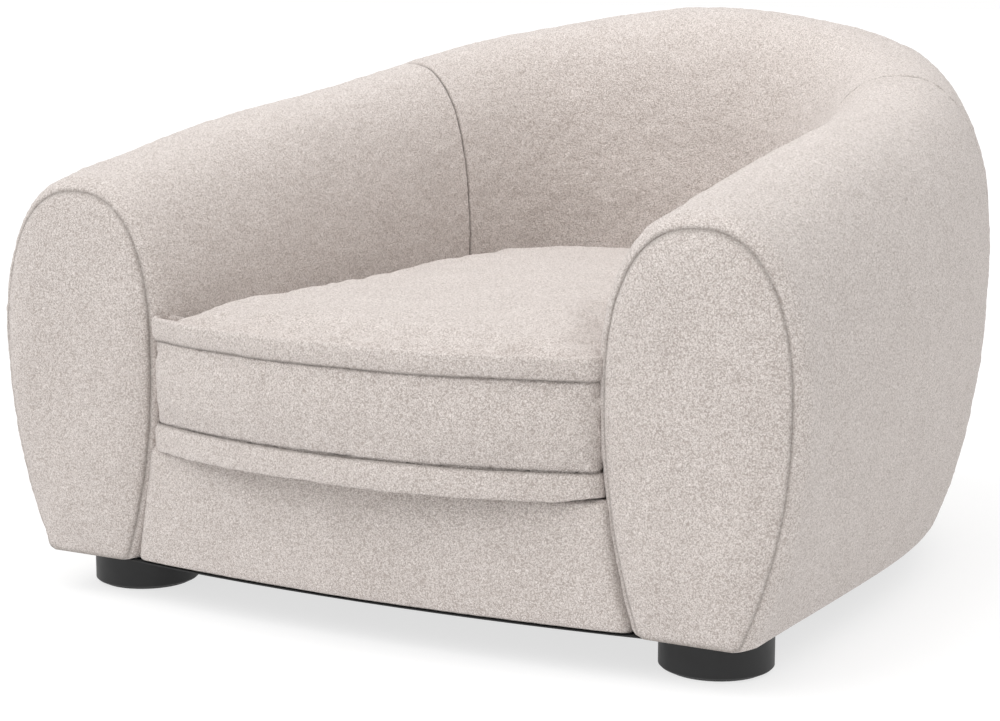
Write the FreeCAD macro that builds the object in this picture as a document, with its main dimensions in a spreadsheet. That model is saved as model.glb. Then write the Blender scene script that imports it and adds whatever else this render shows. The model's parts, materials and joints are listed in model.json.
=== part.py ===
import FreeCAD, Part
import math
import os
import Sketcher
from FreeCAD import Placement, Rotation, Vector

# Upholstered tub armchair: a low horseshoe of arms and back in thick foam and looped
# fabric, a loose boxed seat cushion and four round feet. Millimetres, +Z up, the sitter
# faces -Y and +X is the sitter's left. The origin is on the floor, in the middle of the
# overall box. Every driving size is a named cell of the sheet "Sizes".

SIZES = {
    # horseshoe of arms and back, measured on the cover
    "shell_width": 1050.0,
    "shell_depth": 1085.0,
    "hem_height": 51.0,            # lower edge of the cover above the floor
    "arm_front_height": 506.0,     # top line, read at even steps from arm front to back
    "arm_mid_height": 557.0,
    "shoulder_height": 595.0,
    "wing_height": 656.0,
    "back_height": 695.0,
    "roll_thickness": 240.0,       # widest width of the section
    "arm_straight": 287.0,         # straight stretch of the arm in plan
    "plan_power": 2.9,             # power of the superellipse behind it
    "widest_share_arm": 0.565,     # where the section is widest, as a share of its height
    "widest_share_back": 0.65,
    "crown_power": 2.35,           # roundness of the section above the widest place
    "tuck_power": 2.15,            # how the section draws in below it
    "outer_tuck_arm": 56.0,        # how far the outside draws in at the hem
    "outer_tuck_side": 50.0,
    "outer_tuck_back": 103.0,
    "inner_tuck_arm": 44.0,        # the same inside; below zero it leans into the seat
    "inner_tuck_side": 0.0,
    "inner_tuck_back": -30.0,
    "nose_radius": 32.0,           # rounding between the arm's sides and its front
    "front_seam_setback": 6.0,     # seam of the arm front panel behind the front plane
    "front_dome": 8.0,             # arm front panel in front of that plane
    "back_seam_run": 722.0,        # arm front to back seam, along the middle line
    # layers of the horseshoe, from the cover inwards
    "cover_thickness": 2.5,
    "inner_foam": 48.0,
    "outer_foam": 28.0,
    "crown_foam": 50.0,
    "hardboard": 4.0,
    "layer_gap": 0.5,
    # timber
    "plywood": 18.0,
    "base_board": 20.0,
    "base_rise": 4.0,              # underside of the base boards above the hem
    "top_rail_width": 84.0,
    "top_rail_thickness": 22.0,
    "front_board_setback": 30.0,
    "former_gap": 2.0,             # formers to the bent hardboard
    "shoulder_former_run": 560.0,
    "wing_former_run": 860.0,
    "arm_former_run": 300.0,
    "bolt_hole_radius": 5.3,
    # seat box between the arms
    "seat_gap": 1.0,
    "rail_timber": 25.0,
    "rail_front_setback": 19.0,    # covered rail ends behind the arm front plane
    "rail_bow": 33.0,
    "rail_foam": 12.0,
    "timber_top": 150.0,
    "rear_rail_reach": 606.0,      # rear seat rail behind the arm front plane
    "corner_block": 60.0,
    "block_height": 70.0,
    "deck_board": 12.0,
    "deck_level": 186.0,
    "deck_cloth": 1.5,
    "spring_cloth": 1.0,
    "spring_wire": 3.8,
    "spring_count": 5.0,
    "spring_pitch": 96.0,
    "spring_loop": 24.0,
    "spring_swing": 15.0,
    "spring_clip": 1.2,
    "tie_wire": 3.0,
    "plate_thickness": 3.0,
    "plate_width": 40.0,
    "plate_length": 120.0,
    "screw_radius": 2.5,
    "screw_length": 16.0,
    "dust_cloth": 1.0,
    "dust_cloth_inset": 12.0,      # from the hem
    "plate_front_share": 0.25,     # plates along the side rail, as shares of its length
    "plate_rear_share": 0.8,
    "plate_overlap": 20.0,         # plate beyond the inner hem of the arm
    "screw_overlap": 30.0,
    "clip_width_share": 0.6,       # spring clip width as a share of the rail's
    # loose cushion
    "cushion_overhang": 52.0,      # front edge beyond the arm front plane
    "cushion_bow": 60.0,
    "cushion_clearance": 3.0,      # to the arms and back
    "cushion_lift_gap": 1.0,       # to the deck
    "cushion_belly": 37.0,         # underside to the bottom seam
    "boxing_height": 102.0,        # bottom seam to the top seam
    "cushion_crown": 46.0,
    "cushion_corner": 30.0,
    "flange_width": 9.0,
    "flange_thickness": 5.0,
    "wrap_thickness": 6.0,
    "zip_length": 420.0,
    "zip_height": 12.0,
    # feet
    "foot_radius": 64.0,
    "foot_front_setback": 108.0,
    "foot_side_inset": 137.0,
    "rear_foot_spread": 480.0,
    "rear_foot_inset": 258.0,
    "foot_chamfer": 2.0,
    "glide_thickness": 3.0,
    "glide_radius": 56.0,
    "bolt_radius": 5.0,
    "bolt_bite": 30.0,             # bolt length inside the foot
    "t_nut_radius": 11.0,
    "t_nut_flange": 2.0,
}

document = FreeCAD.newDocument("armchair")
sheet = document.addObject("Spreadsheet::Sheet", "Sizes")
for row, (alias, value) in enumerate(SIZES.items(), start=1):
    sheet.set(f"A{row}", alias)
    sheet.set(f"B{row}", repr(value))
    sheet.setAlias(f"B{row}", alias)
document.recompute()


def size(alias):
    """Value of a cell of the sheet, in millimetres."""
    return float(sheet.get(alias))


FRONT_PLANE = size("cushion_overhang") - (size("shell_depth") + size("cushion_overhang")) / 2
BACK_PLANE = FRONT_PLANE + size("shell_depth")
HEM = size("hem_height")
BASE_BOTTOM = HEM + size("base_rise")
BASE_TOP = BASE_BOTTOM + size("base_board")
SIDES = (("left", 1), ("right", -1))
BISECTIONS = 40
nodes = []


# ---------------------------------------------------------------- plan of the horseshoe
def blend_heights(values, share):
    """Smooth curve through evenly spaced values, level at its last one."""
    last = len(values) - 1
    slopes = [values[1] - values[0]]
    slopes += [(values[i + 1] - values[i - 1]) / 2 for i in range(1, last)]
    slopes.append(0.0)
    place = min(max(share, 0.0), 1.0) * last
    i = min(int(place), last - 1)
    f = place - i
    return (values[i] * (2 * f**3 - 3 * f**2 + 1) + slopes[i] * (f**3 - 2 * f**2 + f)
            + values[i + 1] * (3 * f**2 - 2 * f**3) + slopes[i + 1] * (f**3 - f**2))


def middle_line():
    """Left half of the plan's middle line: run, x and y of closely spaced points."""
    reach = (size("shell_width") - size("roll_thickness")) / 2
    turn = FRONT_PLANE + size("arm_straight")
    depth = BACK_PLANE - size("roll_thickness") / 2 - turn
    power = 2 / size("plan_power")
    steps = 900
    points = [(reach, FRONT_PLANE)]
    for i in range(steps + 1):
        angle = math.pi / 2 * i / steps
        points.append((reach * math.cos(angle) ** power if i < steps else 0.0,
                       turn + depth * math.sin(angle) ** power))
    runs = [0.0]
    for before, after in zip(points, points[1:]):
        runs.append(runs[-1] + math.dist(before, after))
    return runs, points


RUNS, MIDDLE = middle_line()
HALF_RUN = RUNS[-1]


def on_middle(run):
    """Point of the left middle line, a given run from the arm front."""
    low, high = 0, len(RUNS) - 1
    while high - low > 1:
        half = (low + high) // 2
        if RUNS[half] <= run:
            low = half
        else:
            high = half
    f = (run - RUNS[low]) / (RUNS[high] - RUNS[low])
    a, b = MIDDLE[low], MIDDLE[high]
    return a[0] + (b[0] - a[0]) * f, a[1] + (b[1] - a[1]) * f


class Station:
    """One place along the horseshoe: 1 is the left arm front, 0 the back, -1 the right."""

    def __init__(self, place):
        self.place = place
        self.side = -1 if place < 0 else 1
        self.run = (1 - abs(place)) * HALF_RUN
        self.share = self.run / HALF_RUN
        step = 6.0
        x, y = on_middle(self.run)
        x1, y1 = on_middle(max(self.run - step, 0.0))
        if self.run + step <= HALF_RUN:
            x2, y2 = on_middle(self.run + step)
        else:
            x2, y2 = on_middle(2 * HALF_RUN - self.run - step)
            x2 = -x2
        length = math.hypot(x2 - x1, y2 - y1)
        self.x, self.y = x * self.side, y
        self.tangent = Vector((x2 - x1) / length * self.side, (y2 - y1) / length, 0)
        self.outward = Vector((y2 - y1) / length * self.side, -(x2 - x1) / length, 0)
        self.top = blend_heights([size("arm_front_height"), size("arm_mid_height"),
                                  size("shoulder_height"), size("wing_height"),
                                  size("back_height")], self.share)
        self.outer_tuck = blend_heights([size("outer_tuck_arm"), size("outer_tuck_side"),
                                         size("outer_tuck_back")], self.share)
        self.inner_tuck = blend_heights([size("inner_tuck_arm"), size("inner_tuck_side"),
                                         size("inner_tuck_back")], self.share)
        backness = max(self.outward.y, 0.0) ** 2
        arm_share, back_share = size("widest_share_arm"), size("widest_share_back")
        self.outer_widest = arm_share + (back_share - arm_share) * backness

    def section(self, across):
        """Section of the cover as (offset, z); across runs from -1, the inner hem, over 0,
        the crown, to 1, the outer hem."""
        level = math.sin(math.pi / 2 * (1 - abs(across)))
        outside = across > 0
        widest = self.outer_widest if outside else size("widest_share_arm")
        half = size("roll_thickness") / 2
        if level < widest:
            tuck = self.outer_tuck if outside else self.inner_tuck
            offset = half - tuck * ((widest - level) / widest) ** size("tuck_power")
        else:
            power = size("crown_power")
            share = min((level - widest) / (1 - widest), 1.0)
            offset = half * (1 - share**power) ** (1 / power)
        return math.copysign(offset, across), HEM + (self.top - HEM) * level

    def layer(self, across, depth):
        """The same curve a depth inside the cover, as (offset, z)."""
        step = 0.004
        o1, z1 = self.section(max(across - step, -1))
        o2, z2 = self.section(min(across + step, 1))
        offset, height = self.section(across)
        length = math.hypot(o2 - o1, z2 - z1)
        return offset - depth * (z1 - z2) / length, height + depth * (o1 - o2) / length

    def nose(self, depth):
        """How much the nose rounding has drawn a layer in at this place."""
        radius = size("nose_radius") - depth
        behind = self.y - FRONT_PLANE - depth
        if radius <= 0 or behind >= radius:
            return 0.0
        ahead = min(radius - behind, radius)
        return radius - math.sqrt(radius**2 - ahead**2)

    def point(self, offset, height):
        return Vector(self.x, self.y, height) + self.outward * offset

    def layer_point(self, across, depth):
        """Point of a layer, drawn in along the section's normal where the nose is rounded,
        and never raised by that."""
        height = self.layer(across, depth)[1]
        offset, drawn_height = self.layer(across, depth + self.nose(depth))
        return self.point(offset, min(height, drawn_height))

    def across_at(self, height, side, depth=0.0):
        """Value of across at which a layer is at a height, on one side of the crown."""
        low, high = 0.0, 1.0
        for _ in range(BISECTIONS):
            half = (low + high) / 2
            if self.layer(half * side, depth)[1] > height:
                low = half
            else:
                high = half
        return side * (low + high) / 2

    def inner_face(self, height, depth=0.0):
        """Offset of the inner face at a height."""
        return self.layer(self.across_at(height, -1, depth), depth)[0]


def place_at(run, side=1):
    """Place on the horseshoe at a run from an arm front."""
    return side * (1 - run / HALF_RUN)


def even(first, last, count):
    return [first + (last - first) * i / (count - 1) for i in range(count)]


# ---------------------------------------------------------------- solids from surfaces
def surface(rows):
    result = Part.BSplineSurface()
    result.interpolate(rows)
    return result


def thick(front_rows, rear_rows):
    """Closed solid between two surfaces given as grids of points."""
    front, rear = surface(front_rows), surface(rear_rows)
    faces = [front.toShape(), rear.toShape()]
    u1, u2, v1, v2 = front.bounds()
    a1, a2, b1, b2 = rear.bounds()
    for one, other in (((front.uIso(u1)), rear.uIso(a1)), (front.uIso(u2), rear.uIso(a2)),
                       (front.vIso(v1), rear.vIso(b1)), (front.vIso(v2), rear.vIso(b2))):
        faces.append(Part.makeRuledSurface(one.toShape(), other.toShape(), 1))
    shell = Part.makeShell(faces)
    shell.sewShape()
    solid = Part.makeSolid(shell)
    if solid.Volume < 0:
        solid.reverse()
    return solid


def curve(points):
    result = Part.BSplineCurve()
    result.interpolate(points)
    return result.toShape()


def add_shape(label, shape):
    """Keep a solid of its own as a node."""
    item = document.addObject("Part::Feature", label)
    item.Label = label
    item.Shape = shape
    item.Placement = Placement()
    nodes.append(item)
    return item


def add_bound(kind, label, sizes, place=(None, None, None), node=True):
    """Primitive whose properties and place are bound to cells of the sheet."""
    item = document.addObject(kind, label)
    item.Label = label
    for name, expression in sizes.items():
        item.setExpression(name, expression)
    for letter, expression in zip("xyz", place):
        if expression is not None:
            item.setExpression(f"Placement.Base.{letter}", expression)
    if node:
        nodes.append(item)
    return item


def add_group(label, parts):
    """Several separate solids of the same kind as one node."""
    item = document.addObject("Part::Compound", label)
    item.Label = label
    item.Links = parts
    nodes.append(item)
    return item


# ---------------------------------------------------------------- layers of the horseshoe
def layer_patch(start, end, low, high, outer, inner, along=31, around=25):
    """Curved slab of the horseshoe: between two places, two across values (numbers or
    functions of the station) and two depths below the cover."""
    grids = []
    for depth in (outer, inner):
        rows = []
        for place in even(start, end, along):
            station = Station(place)
            first = low(station) if callable(low) else low
            final = high(station) if callable(high) else high
            rows.append([station.layer_point(w, depth) for w in even(first, final, around)])
        grids.append(rows)
    return thick(*grids)


def base_line(side, *depths):
    """Across value at which layers at these depths all stand clear of the base boards."""
    level = BASE_TOP + size("layer_gap")
    return lambda station: side * min(abs(station.across_at(level, side, depth))
                                      for depth in depths)


SEAM_PLACE = place_at(size("back_seam_run"))
COVER = size("cover_thickness")
GAP = size("layer_gap")
FOAM_OUT = COVER + GAP
ROLL_SHARE = 0.30              # crown foam spans this share of the section on each side
FOAM_SEAM = 0.004              # share of the section left free between two foam layers
PANEL_SEAM = 0.06              # hardboard ends this far below the crown foam's edge
JOINT = GAP / 2 / HALF_RUN

SECTORS = {
    "left_arm": (1.0, SEAM_PLACE + JOINT),
    "back": (SEAM_PLACE - JOINT, -SEAM_PLACE + JOINT),
    "right_arm": (-SEAM_PLACE - JOINT, -1.0),
}


def sector_ends(name, front_run):
    """Places where a sector starts and ends, with its arm front set back by a run."""
    start, end = SECTORS[name]
    if start == 1.0:
        start = place_at(front_run)
    if end == -1.0:
        end = -place_at(front_run)
    return start, end


def make_covers():
    """Fabric cover of each sector, from the outer hem over the crown to the inner hem."""
    for name in SECTORS:
        start, end = sector_ends(name, size("front_seam_setback"))
        add_shape(f"{name}_cover", layer_patch(
            start, end, lambda s: s.across_at(BASE_BOTTOM + GAP, -1, COVER), 1.0,
            0.0, COVER, 41, 61))


def make_foam():
    """Inner, crown and outer foam of each sector, laid edge to edge."""
    inner = FOAM_OUT + size("inner_foam")
    outer = FOAM_OUT + size("outer_foam")
    crown = FOAM_OUT + size("crown_foam")
    for name in SECTORS:
        start, end = sector_ends(name, size("front_board_setback"))
        add_shape(f"{name}_inner_foam", layer_patch(
            start, end, base_line(-1, FOAM_OUT, inner), -ROLL_SHARE - FOAM_SEAM,
            FOAM_OUT, inner))
        add_shape(f"{name}_crown_foam", layer_patch(
            start, end, -ROLL_SHARE, ROLL_SHARE, FOAM_OUT, crown))
        add_shape(f"{name}_outer_foam", layer_patch(
            start, end, ROLL_SHARE + FOAM_SEAM, base_line(1, FOAM_OUT, outer),
            FOAM_OUT, outer))


def make_hardboard():
    """Thin bent panels that the foam is glued to: three inside and three outside."""
    behind_board = size("front_board_setback") + size("plywood") + GAP
    for label, side, foam in (("inner", -1, "inner_foam"), ("outer", 1, "outer_foam")):
        depth = FOAM_OUT + size(foam) + GAP
        rear = depth + size("hardboard")
        ends = [base_line(side, depth, rear), side * (ROLL_SHARE + PANEL_SEAM)]
        panels = []
        for name in SECTORS:
            start, end = sector_ends(name, behind_board)
            panels.append(layer_patch(start, end, *ends[::-side], depth, rear))
        add_shape(f"{label}_panels", Part.makeCompound(panels))


def band(start, end, inner_offset, outer_offset, top, bottom, count=21):
    """Strip along the horseshoe between two offsets and two heights, each a function of
    the station."""
    grids = []
    for level in (top, bottom):
        rows = []
        for place in even(start, end, count):
            station = Station(place)
            ends = inner_offset(station), outer_offset(station)
            rows.append([station.point(o, level(station)) for o in even(*ends, 4)])
        grids.append(rows)
    return thick(*grids)


def rail_top(station):
    """Height at which the top rail's edges just clear the underside of the crown foam."""
    depth = FOAM_OUT + size("crown_foam") + GAP
    levels = []
    for side in (-1, 1):
        low, high = 0.0, ROLL_SHARE
        for _ in range(BISECTIONS):
            half = (low + high) / 2
            if abs(station.layer(half * side, depth)[0]) < size("top_rail_width") / 2:
                low = half
            else:
                high = half
        levels.append(station.layer(high * side, depth)[1])
    return min(levels) - GAP


def rail_bottom(station):
    return rail_top(station) - size("top_rail_thickness")


def make_top_rails():
    """Bent rails on top of the formers: one for each arm and one for the back."""
    half = size("top_rail_width") / 2
    rails = {}
    for name in SECTORS:
        start, end = sector_ends(name, size("front_board_setback"))
        rails[name] = band(start, end, lambda s: -half, lambda s: half, rail_top, rail_bottom)
    add_shape("back_top_rail", rails.pop("back"))
    add_shape("arm_top_rails", Part.makeCompound(list(rails.values())))


def board_edge(side):
    """Offset of a base board's edge: just inside the cover over the board's thickness."""
    depth = COVER + GAP

    def offset(station):
        return side * min(abs(station.layer(station.across_at(z, side, depth), depth)[0])
                          for z in (BASE_BOTTOM, BASE_TOP)) - side * GAP
    return offset


def foot_places():
    """Centres of the four feet, by name."""
    front = FRONT_PLANE + size("foot_front_setback")
    x_front = size("shell_width") / 2 - size("foot_side_inset")
    rear = BACK_PLANE - size("rear_foot_inset")
    x_rear = size("rear_foot_spread") / 2
    return {"front_left": (x_front, front), "front_right": (-x_front, front),
            "rear_left": (x_rear, rear), "rear_right": (-x_rear, rear)}


def make_base_boards():
    """Flat boards under the arms and back, drilled for the foot bolts."""
    for name in SECTORS:
        start, end = sector_ends(name, size("front_board_setback"))
        board = band(start, end, board_edge(-1), board_edge(1),
                     lambda s: BASE_TOP, lambda s: BASE_BOTTOM, 31)
        for x, y in foot_places().values():
            board = board.cut(Part.makeCylinder(size("bolt_hole_radius"), size("base_board"),
                                                Vector(x, y, BASE_BOTTOM)))
            board = board.cut(Part.makeCylinder(size("t_nut_radius"), size("t_nut_flange"),
                                                Vector(x, y, BASE_TOP - size("t_nut_flange"))))
        add_shape(f"{name}_base_board", board)


def former_wire(station, bottom):
    """Outline of a plywood former: it fills the section behind the hardboard and is cut
    flat under the lower edge of the sloping top rail."""
    step = size("plywood") / 2 / HALF_RUN
    around = [Station(min(abs(station.place) + move, 1.0)) for move in (-step, 0.0, step)]
    flat = min(rail_bottom(s) for s in around) - GAP
    sides = []
    for side, foam in ((-1, "inner_foam"), (1, "outer_foam")):
        depth = FOAM_OUT + size(foam) + GAP + size("hardboard") + size("former_gap")
        low = station.across_at(bottom, side, depth)
        high = station.across_at(flat, side, depth)
        sides.append([station.point(*station.layer(w, depth)) for w in even(low, high, 11)])
    inner, outer = sides
    edges = [curve(inner), Part.makeLine(inner[-1], outer[-1]),
             curve(outer[::-1]), Part.makeLine(outer[0], inner[0])]
    return Part.Wire(edges)


def former(place):
    """Plywood former across the horseshoe, standing on the base boards."""
    station = Station(place)
    wood = size("plywood")
    face = Part.Face(former_wire(station, BASE_TOP))
    face.translate(station.tangent * (-wood / 2))
    return face.extrude(station.tangent * wood)


def make_formers():
    board_run = size("front_board_setback") + size("plywood") / 2
    for name, side in SIDES:
        add_shape(f"{name}_arm_front_board", former(place_at(board_run, side)))
    add_shape("arm_formers", Part.makeCompound(
        [former(place_at(size("arm_former_run"), side)) for _, side in SIDES]))
    back = [former(place_at(size(run), side)) for _, side in SIDES
            for run in ("shoulder_former_run", "wing_former_run")]
    add_shape("back_formers", Part.makeCompound([*back, former(0.0)]))


def front_outline(side, behind, inset):
    """Outline of the arm front at a distance behind the front plane, drawn in by an inset."""
    station = Station(place_at(0.0, side))
    bottom = HEM + size("layer_gap") + inset
    low = station.across_at(bottom, -1, inset)
    high = station.across_at(bottom, 1, inset)
    points = [station.point(*station.layer(w, inset)) for w in even(low, high, 33)]
    wire = Part.Wire([curve(points), Part.makeLine(points[-1], points[0])])
    wire.translate(Vector(0, behind, 0))
    return wire


def nose_inset(behind, depth):
    """Inset of a layer of the rounded nose at a distance behind the front plane."""
    radius = size("nose_radius") - depth
    ahead = min(max(radius - (behind - depth), 0.0), radius)
    return depth + radius - math.sqrt(radius**2 - ahead**2)


# the front panel's dome: share of its rise, and share of the arm's half width at the hem
# that its outline is drawn in there
DOME_STEPS = ((0.0, 0.0), (0.35, 0.115), (0.7, 0.315), (0.92, 0.63), (1.0, 1.0))
HEM_HALF = (size("roll_thickness") - size("outer_tuck_arm") - size("inner_tuck_arm")) / 2


def domed_cap(side, depth, setback, rear):
    """Domed block in front of a rear plane: the nose rounding up to the seam, then the
    shallow dome of the front panel."""
    seam = size("front_seam_setback") + setback
    front = setback - size("front_dome")
    rise = seam - front
    start = nose_inset(seam, depth)
    wires = []
    if rear > seam:
        wires += [front_outline(side, behind, nose_inset(behind, depth))
                  for behind in even(rear, seam + (rear - seam) / 3, 3)]
    for share, drawn_in in DOME_STEPS:
        wires.append(front_outline(side, seam - rise * share, start + HEM_HALF * drawn_in))
    return Part.makeLoft(wires, True, True)


def make_arm_fronts():
    """Padded front of each arm and its domed cover panel."""
    for name, side in SIDES:
        outer = domed_cap(side, 0.0, 0.0, size("front_seam_setback") - COVER)
        inner = domed_cap(side, COVER / 2, COVER, 0.0)
        add_shape(f"{name}_arm_front_cover", outer.cut(inner))
        pad = domed_cap(side, FOAM_OUT, COVER + GAP, size("front_board_setback") - GAP)
        add_shape(f"{name}_arm_front_foam", pad)


# ---------------------------------------------------------------- seat box
def gap_half(height, clearance):
    """Half the space between the arms at a height, less a clearance."""
    station = Station(place_at(size("arm_straight") / 2))
    return station.x + station.inner_face(height) - clearance


def rail_slab(setback, thickness, bottom, top, narrower=0.0):
    """Bowed slab between the arms; its ends follow the arms' inner faces."""
    half = (size("shell_width") - size("roll_thickness")) / 2
    clearance = size("seat_gap") + narrower
    face_y = FRONT_PLANE + size("rail_front_setback") + setback
    lines = []
    for y in (face_y, face_y + thickness):
        lines.append(Part.Arc(Vector(-half, y, bottom), Vector(0, y - size("rail_bow"), bottom),
                              Vector(half, y, bottom)).toShape())
    front, rear = lines
    face = Part.Face(Part.Wire([front, Part.makeLine(front.lastVertex().Point,
                                                     rear.lastVertex().Point),
                                rear.reversed(), Part.makeLine(rear.firstVertex().Point,
                                                               front.firstVertex().Point)]))
    slab = face.extrude(Vector(0, 0, top - bottom))
    margin = size("rail_bow") + thickness
    corners = [Vector(gap_half(z, clearance), FRONT_PLANE - margin, z)
               for z in even(bottom, top, 5)]
    mirrored = [Vector(-p.x, p.y, p.z) for p in corners[::-1]]
    outline = Part.Wire([curve(corners), Part.makeLine(corners[-1], mirrored[0]),
                         curve(mirrored), Part.makeLine(mirrored[-1], corners[0])])
    window = Part.Face(outline).extrude(Vector(0, size("shell_depth"), 0))
    return slab.common(window)


def inner_contour(height, clearance, front_y, bow, corner=0.0, levels=()):
    """Closed D outline at a height: the inner face of the horseshoe less a clearance, with
    a bowed front. It also clears the inner face at the other levels."""
    heights = (height, *levels)

    def inner_point(place):
        station = Station(place)
        return station.point(min(station.inner_face(z) for z in heights) - clearance, height)

    near, far = 0.0, HALF_RUN
    for _ in range(BISECTIONS):
        run = (near + far) / 2
        if inner_point(place_at(run)).y < front_y + corner:
            near = run
        else:
            far = run
    start = place_at(run)
    points = [inner_point(place) for place in even(start, -start, 41)]
    first, final = points[0], points[-1]
    side = curve(points)
    half = first.x
    left = Vector(half - corner, first.y - corner, height)
    right = Vector(corner - half, first.y - corner, height)
    if bow > 0:
        front = Part.Arc(right, Vector(0, front_y - bow, height), left).toShape()
    else:
        front = Part.makeLine(right, left)
    edges = [side]
    if corner > 0:
        turn = corner * (1 - math.sqrt(0.5))
        edges.append(Part.Arc(final, Vector(turn - half, right.y + turn, height),
                              right).toShape())
        edges.append(front)
        edges.append(Part.Arc(left, Vector(half - turn, left.y + turn, height),
                              first).toShape())
    else:
        edges.append(front)
    return Part.Wire(Part.__sortEdges__(edges))


def flat_slab(wire, thickness):
    return Part.Face(wire).extrude(Vector(0, 0, thickness))


RAIL_SKIN = COVER + GAP + size("rail_foam") + GAP
RAIL_REAR = size("rail_front_setback") + RAIL_SKIN + size("rail_timber")
DECK_BOTTOM = size("deck_level") - size("deck_cloth")


def make_front_rail():
    low, top = BASE_BOTTOM, size("timber_top")
    add_shape("front_rail", rail_slab(RAIL_SKIN, size("rail_timber"), low, top, 2.0))
    add_shape("front_rail_foam", rail_slab(COVER + GAP, size("rail_foam"), low,
                                           DECK_BOTTOM - GAP, 2.0))
    add_shape("front_rail_cover", rail_slab(0.0, COVER, HEM, DECK_BOTTOM - GAP))


def seat_half():
    """Half width of the timber seat box: it clears the arms, and the horseshoe's inner
    face where it turns in behind the rear rail."""
    rear_y = FRONT_PLANE + size("rear_rail_reach") + size("rail_timber")
    widths = []
    for level in (BASE_BOTTOM, size("timber_top")):
        widths.append(gap_half(level, 0.0))
        near, far = 0.0, HALF_RUN
        for _ in range(BISECTIONS):
            run = (near + far) / 2
            station = Station(place_at(run))
            corner = station.point(station.inner_face(level), 0)
            if corner.y < rear_y:
                near = run
            else:
                far = run
        widths.append(corner.x)
    return min(widths) - size("seat_gap")


SEAT_HALF = seat_half()
REAR_RAIL_Y = FRONT_PLANE + size("rear_rail_reach")
SIDE_RAIL_Y = FRONT_PLANE + RAIL_REAR + GAP
DERIVED = {
    "seat_half_width": SEAT_HALF,
    "rear_rail_y": REAR_RAIL_Y,
    "side_rail_y": SIDE_RAIL_Y,
    "base_bottom": BASE_BOTTOM,
    "base_top": BASE_TOP,
    "front_foot_x": foot_places()["front_left"][0],
    "front_foot_y": foot_places()["front_left"][1],
    "rear_foot_x": foot_places()["rear_left"][0],
    "rear_foot_y": foot_places()["rear_left"][1],
}
for row, (alias, value) in enumerate(DERIVED.items(), start=1):
    sheet.set(f"D{row}", repr(value))
    sheet.setAlias(f"D{row}", alias)
document.recompute()


def make_seat_box():
    """Side and rear rails, corner blocks and the deck board behind the springs."""
    height = "Sizes.timber_top - Sizes.base_bottom"
    for name, side in SIDES:
        left = "Sizes.seat_half_width - Sizes.rail_timber" if side > 0 else \
            "-Sizes.seat_half_width"
        add_bound("Part::Box", f"{name}_seat_rail",
                  {"Length": "Sizes.rail_timber",
                   "Width": "Sizes.rear_rail_y - Sizes.side_rail_y", "Height": height},
                  (left, "Sizes.side_rail_y", "Sizes.base_bottom"), node=False)
    rails = [document.getObject(f"{name}_seat_rail") for name, _ in SIDES]
    add_group("seat_side_rails", rails)
    add_bound("Part::Box", "rear_seat_rail",
              {"Length": "2 * Sizes.seat_half_width", "Width": "Sizes.rail_timber",
               "Height": height},
              ("-Sizes.seat_half_width", "Sizes.rear_rail_y", "Sizes.base_bottom"))
    solids = []
    inner = SEAT_HALF - size("rail_timber") - GAP
    leg = size("corner_block")
    ends = ((SIDE_RAIL_Y + GAP, 1), (REAR_RAIL_Y - GAP, -1))
    for side, (y, toward) in ((side, end) for _, side in SIDES for end in ends):
        corner = Vector(side * inner, y, BASE_BOTTOM)
        along_x = corner + Vector(-side * leg, 0, 0)
        along_y = corner + Vector(0, toward * leg, 0)
        face = Part.Face(Part.makePolygon([corner, along_x, along_y, corner]))
        solids.append(face.extrude(Vector(0, 0, size("block_height"))))
    add_shape("corner_blocks", Part.makeCompound(solids))
    rear = REAR_RAIL_Y + size("rail_timber") + GAP
    level = size("timber_top") - size("deck_board")
    contour = inner_contour(level, size("seat_gap"), rear, 0.0)
    board = flat_slab(contour, size("deck_board"))
    add_shape("rear_deck_board", board)


def spring_path(x, level):
    """Sinuous spring from the front rail to the rear rail: straight swings joined by
    half-round loops."""
    loop = size("spring_loop") / 2
    swing = size("spring_swing")
    start = SIDE_RAIL_Y - size("rail_timber") / 2
    finish = REAR_RAIL_Y + size("rail_timber") / 2
    count = int((finish - start) / (2 * loop))
    loop = (finish - start) / (2 * count)
    edges = []
    side = 1
    y = start
    edges.append(Part.makeLine(Vector(x - swing, y, level), Vector(x + swing, y, level)))
    for _ in range(count):
        edge_x = x + side * swing
        edges.append(Part.Arc(Vector(edge_x, y, level),
                              Vector(edge_x + side * loop, y + loop, level),
                              Vector(edge_x, y + 2 * loop, level)).toShape())
        y += 2 * loop
        edges.append(Part.makeLine(Vector(edge_x, y, level),
                                   Vector(x - side * swing, y, level)))
        side = -side
    return Part.Wire(edges)


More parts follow.
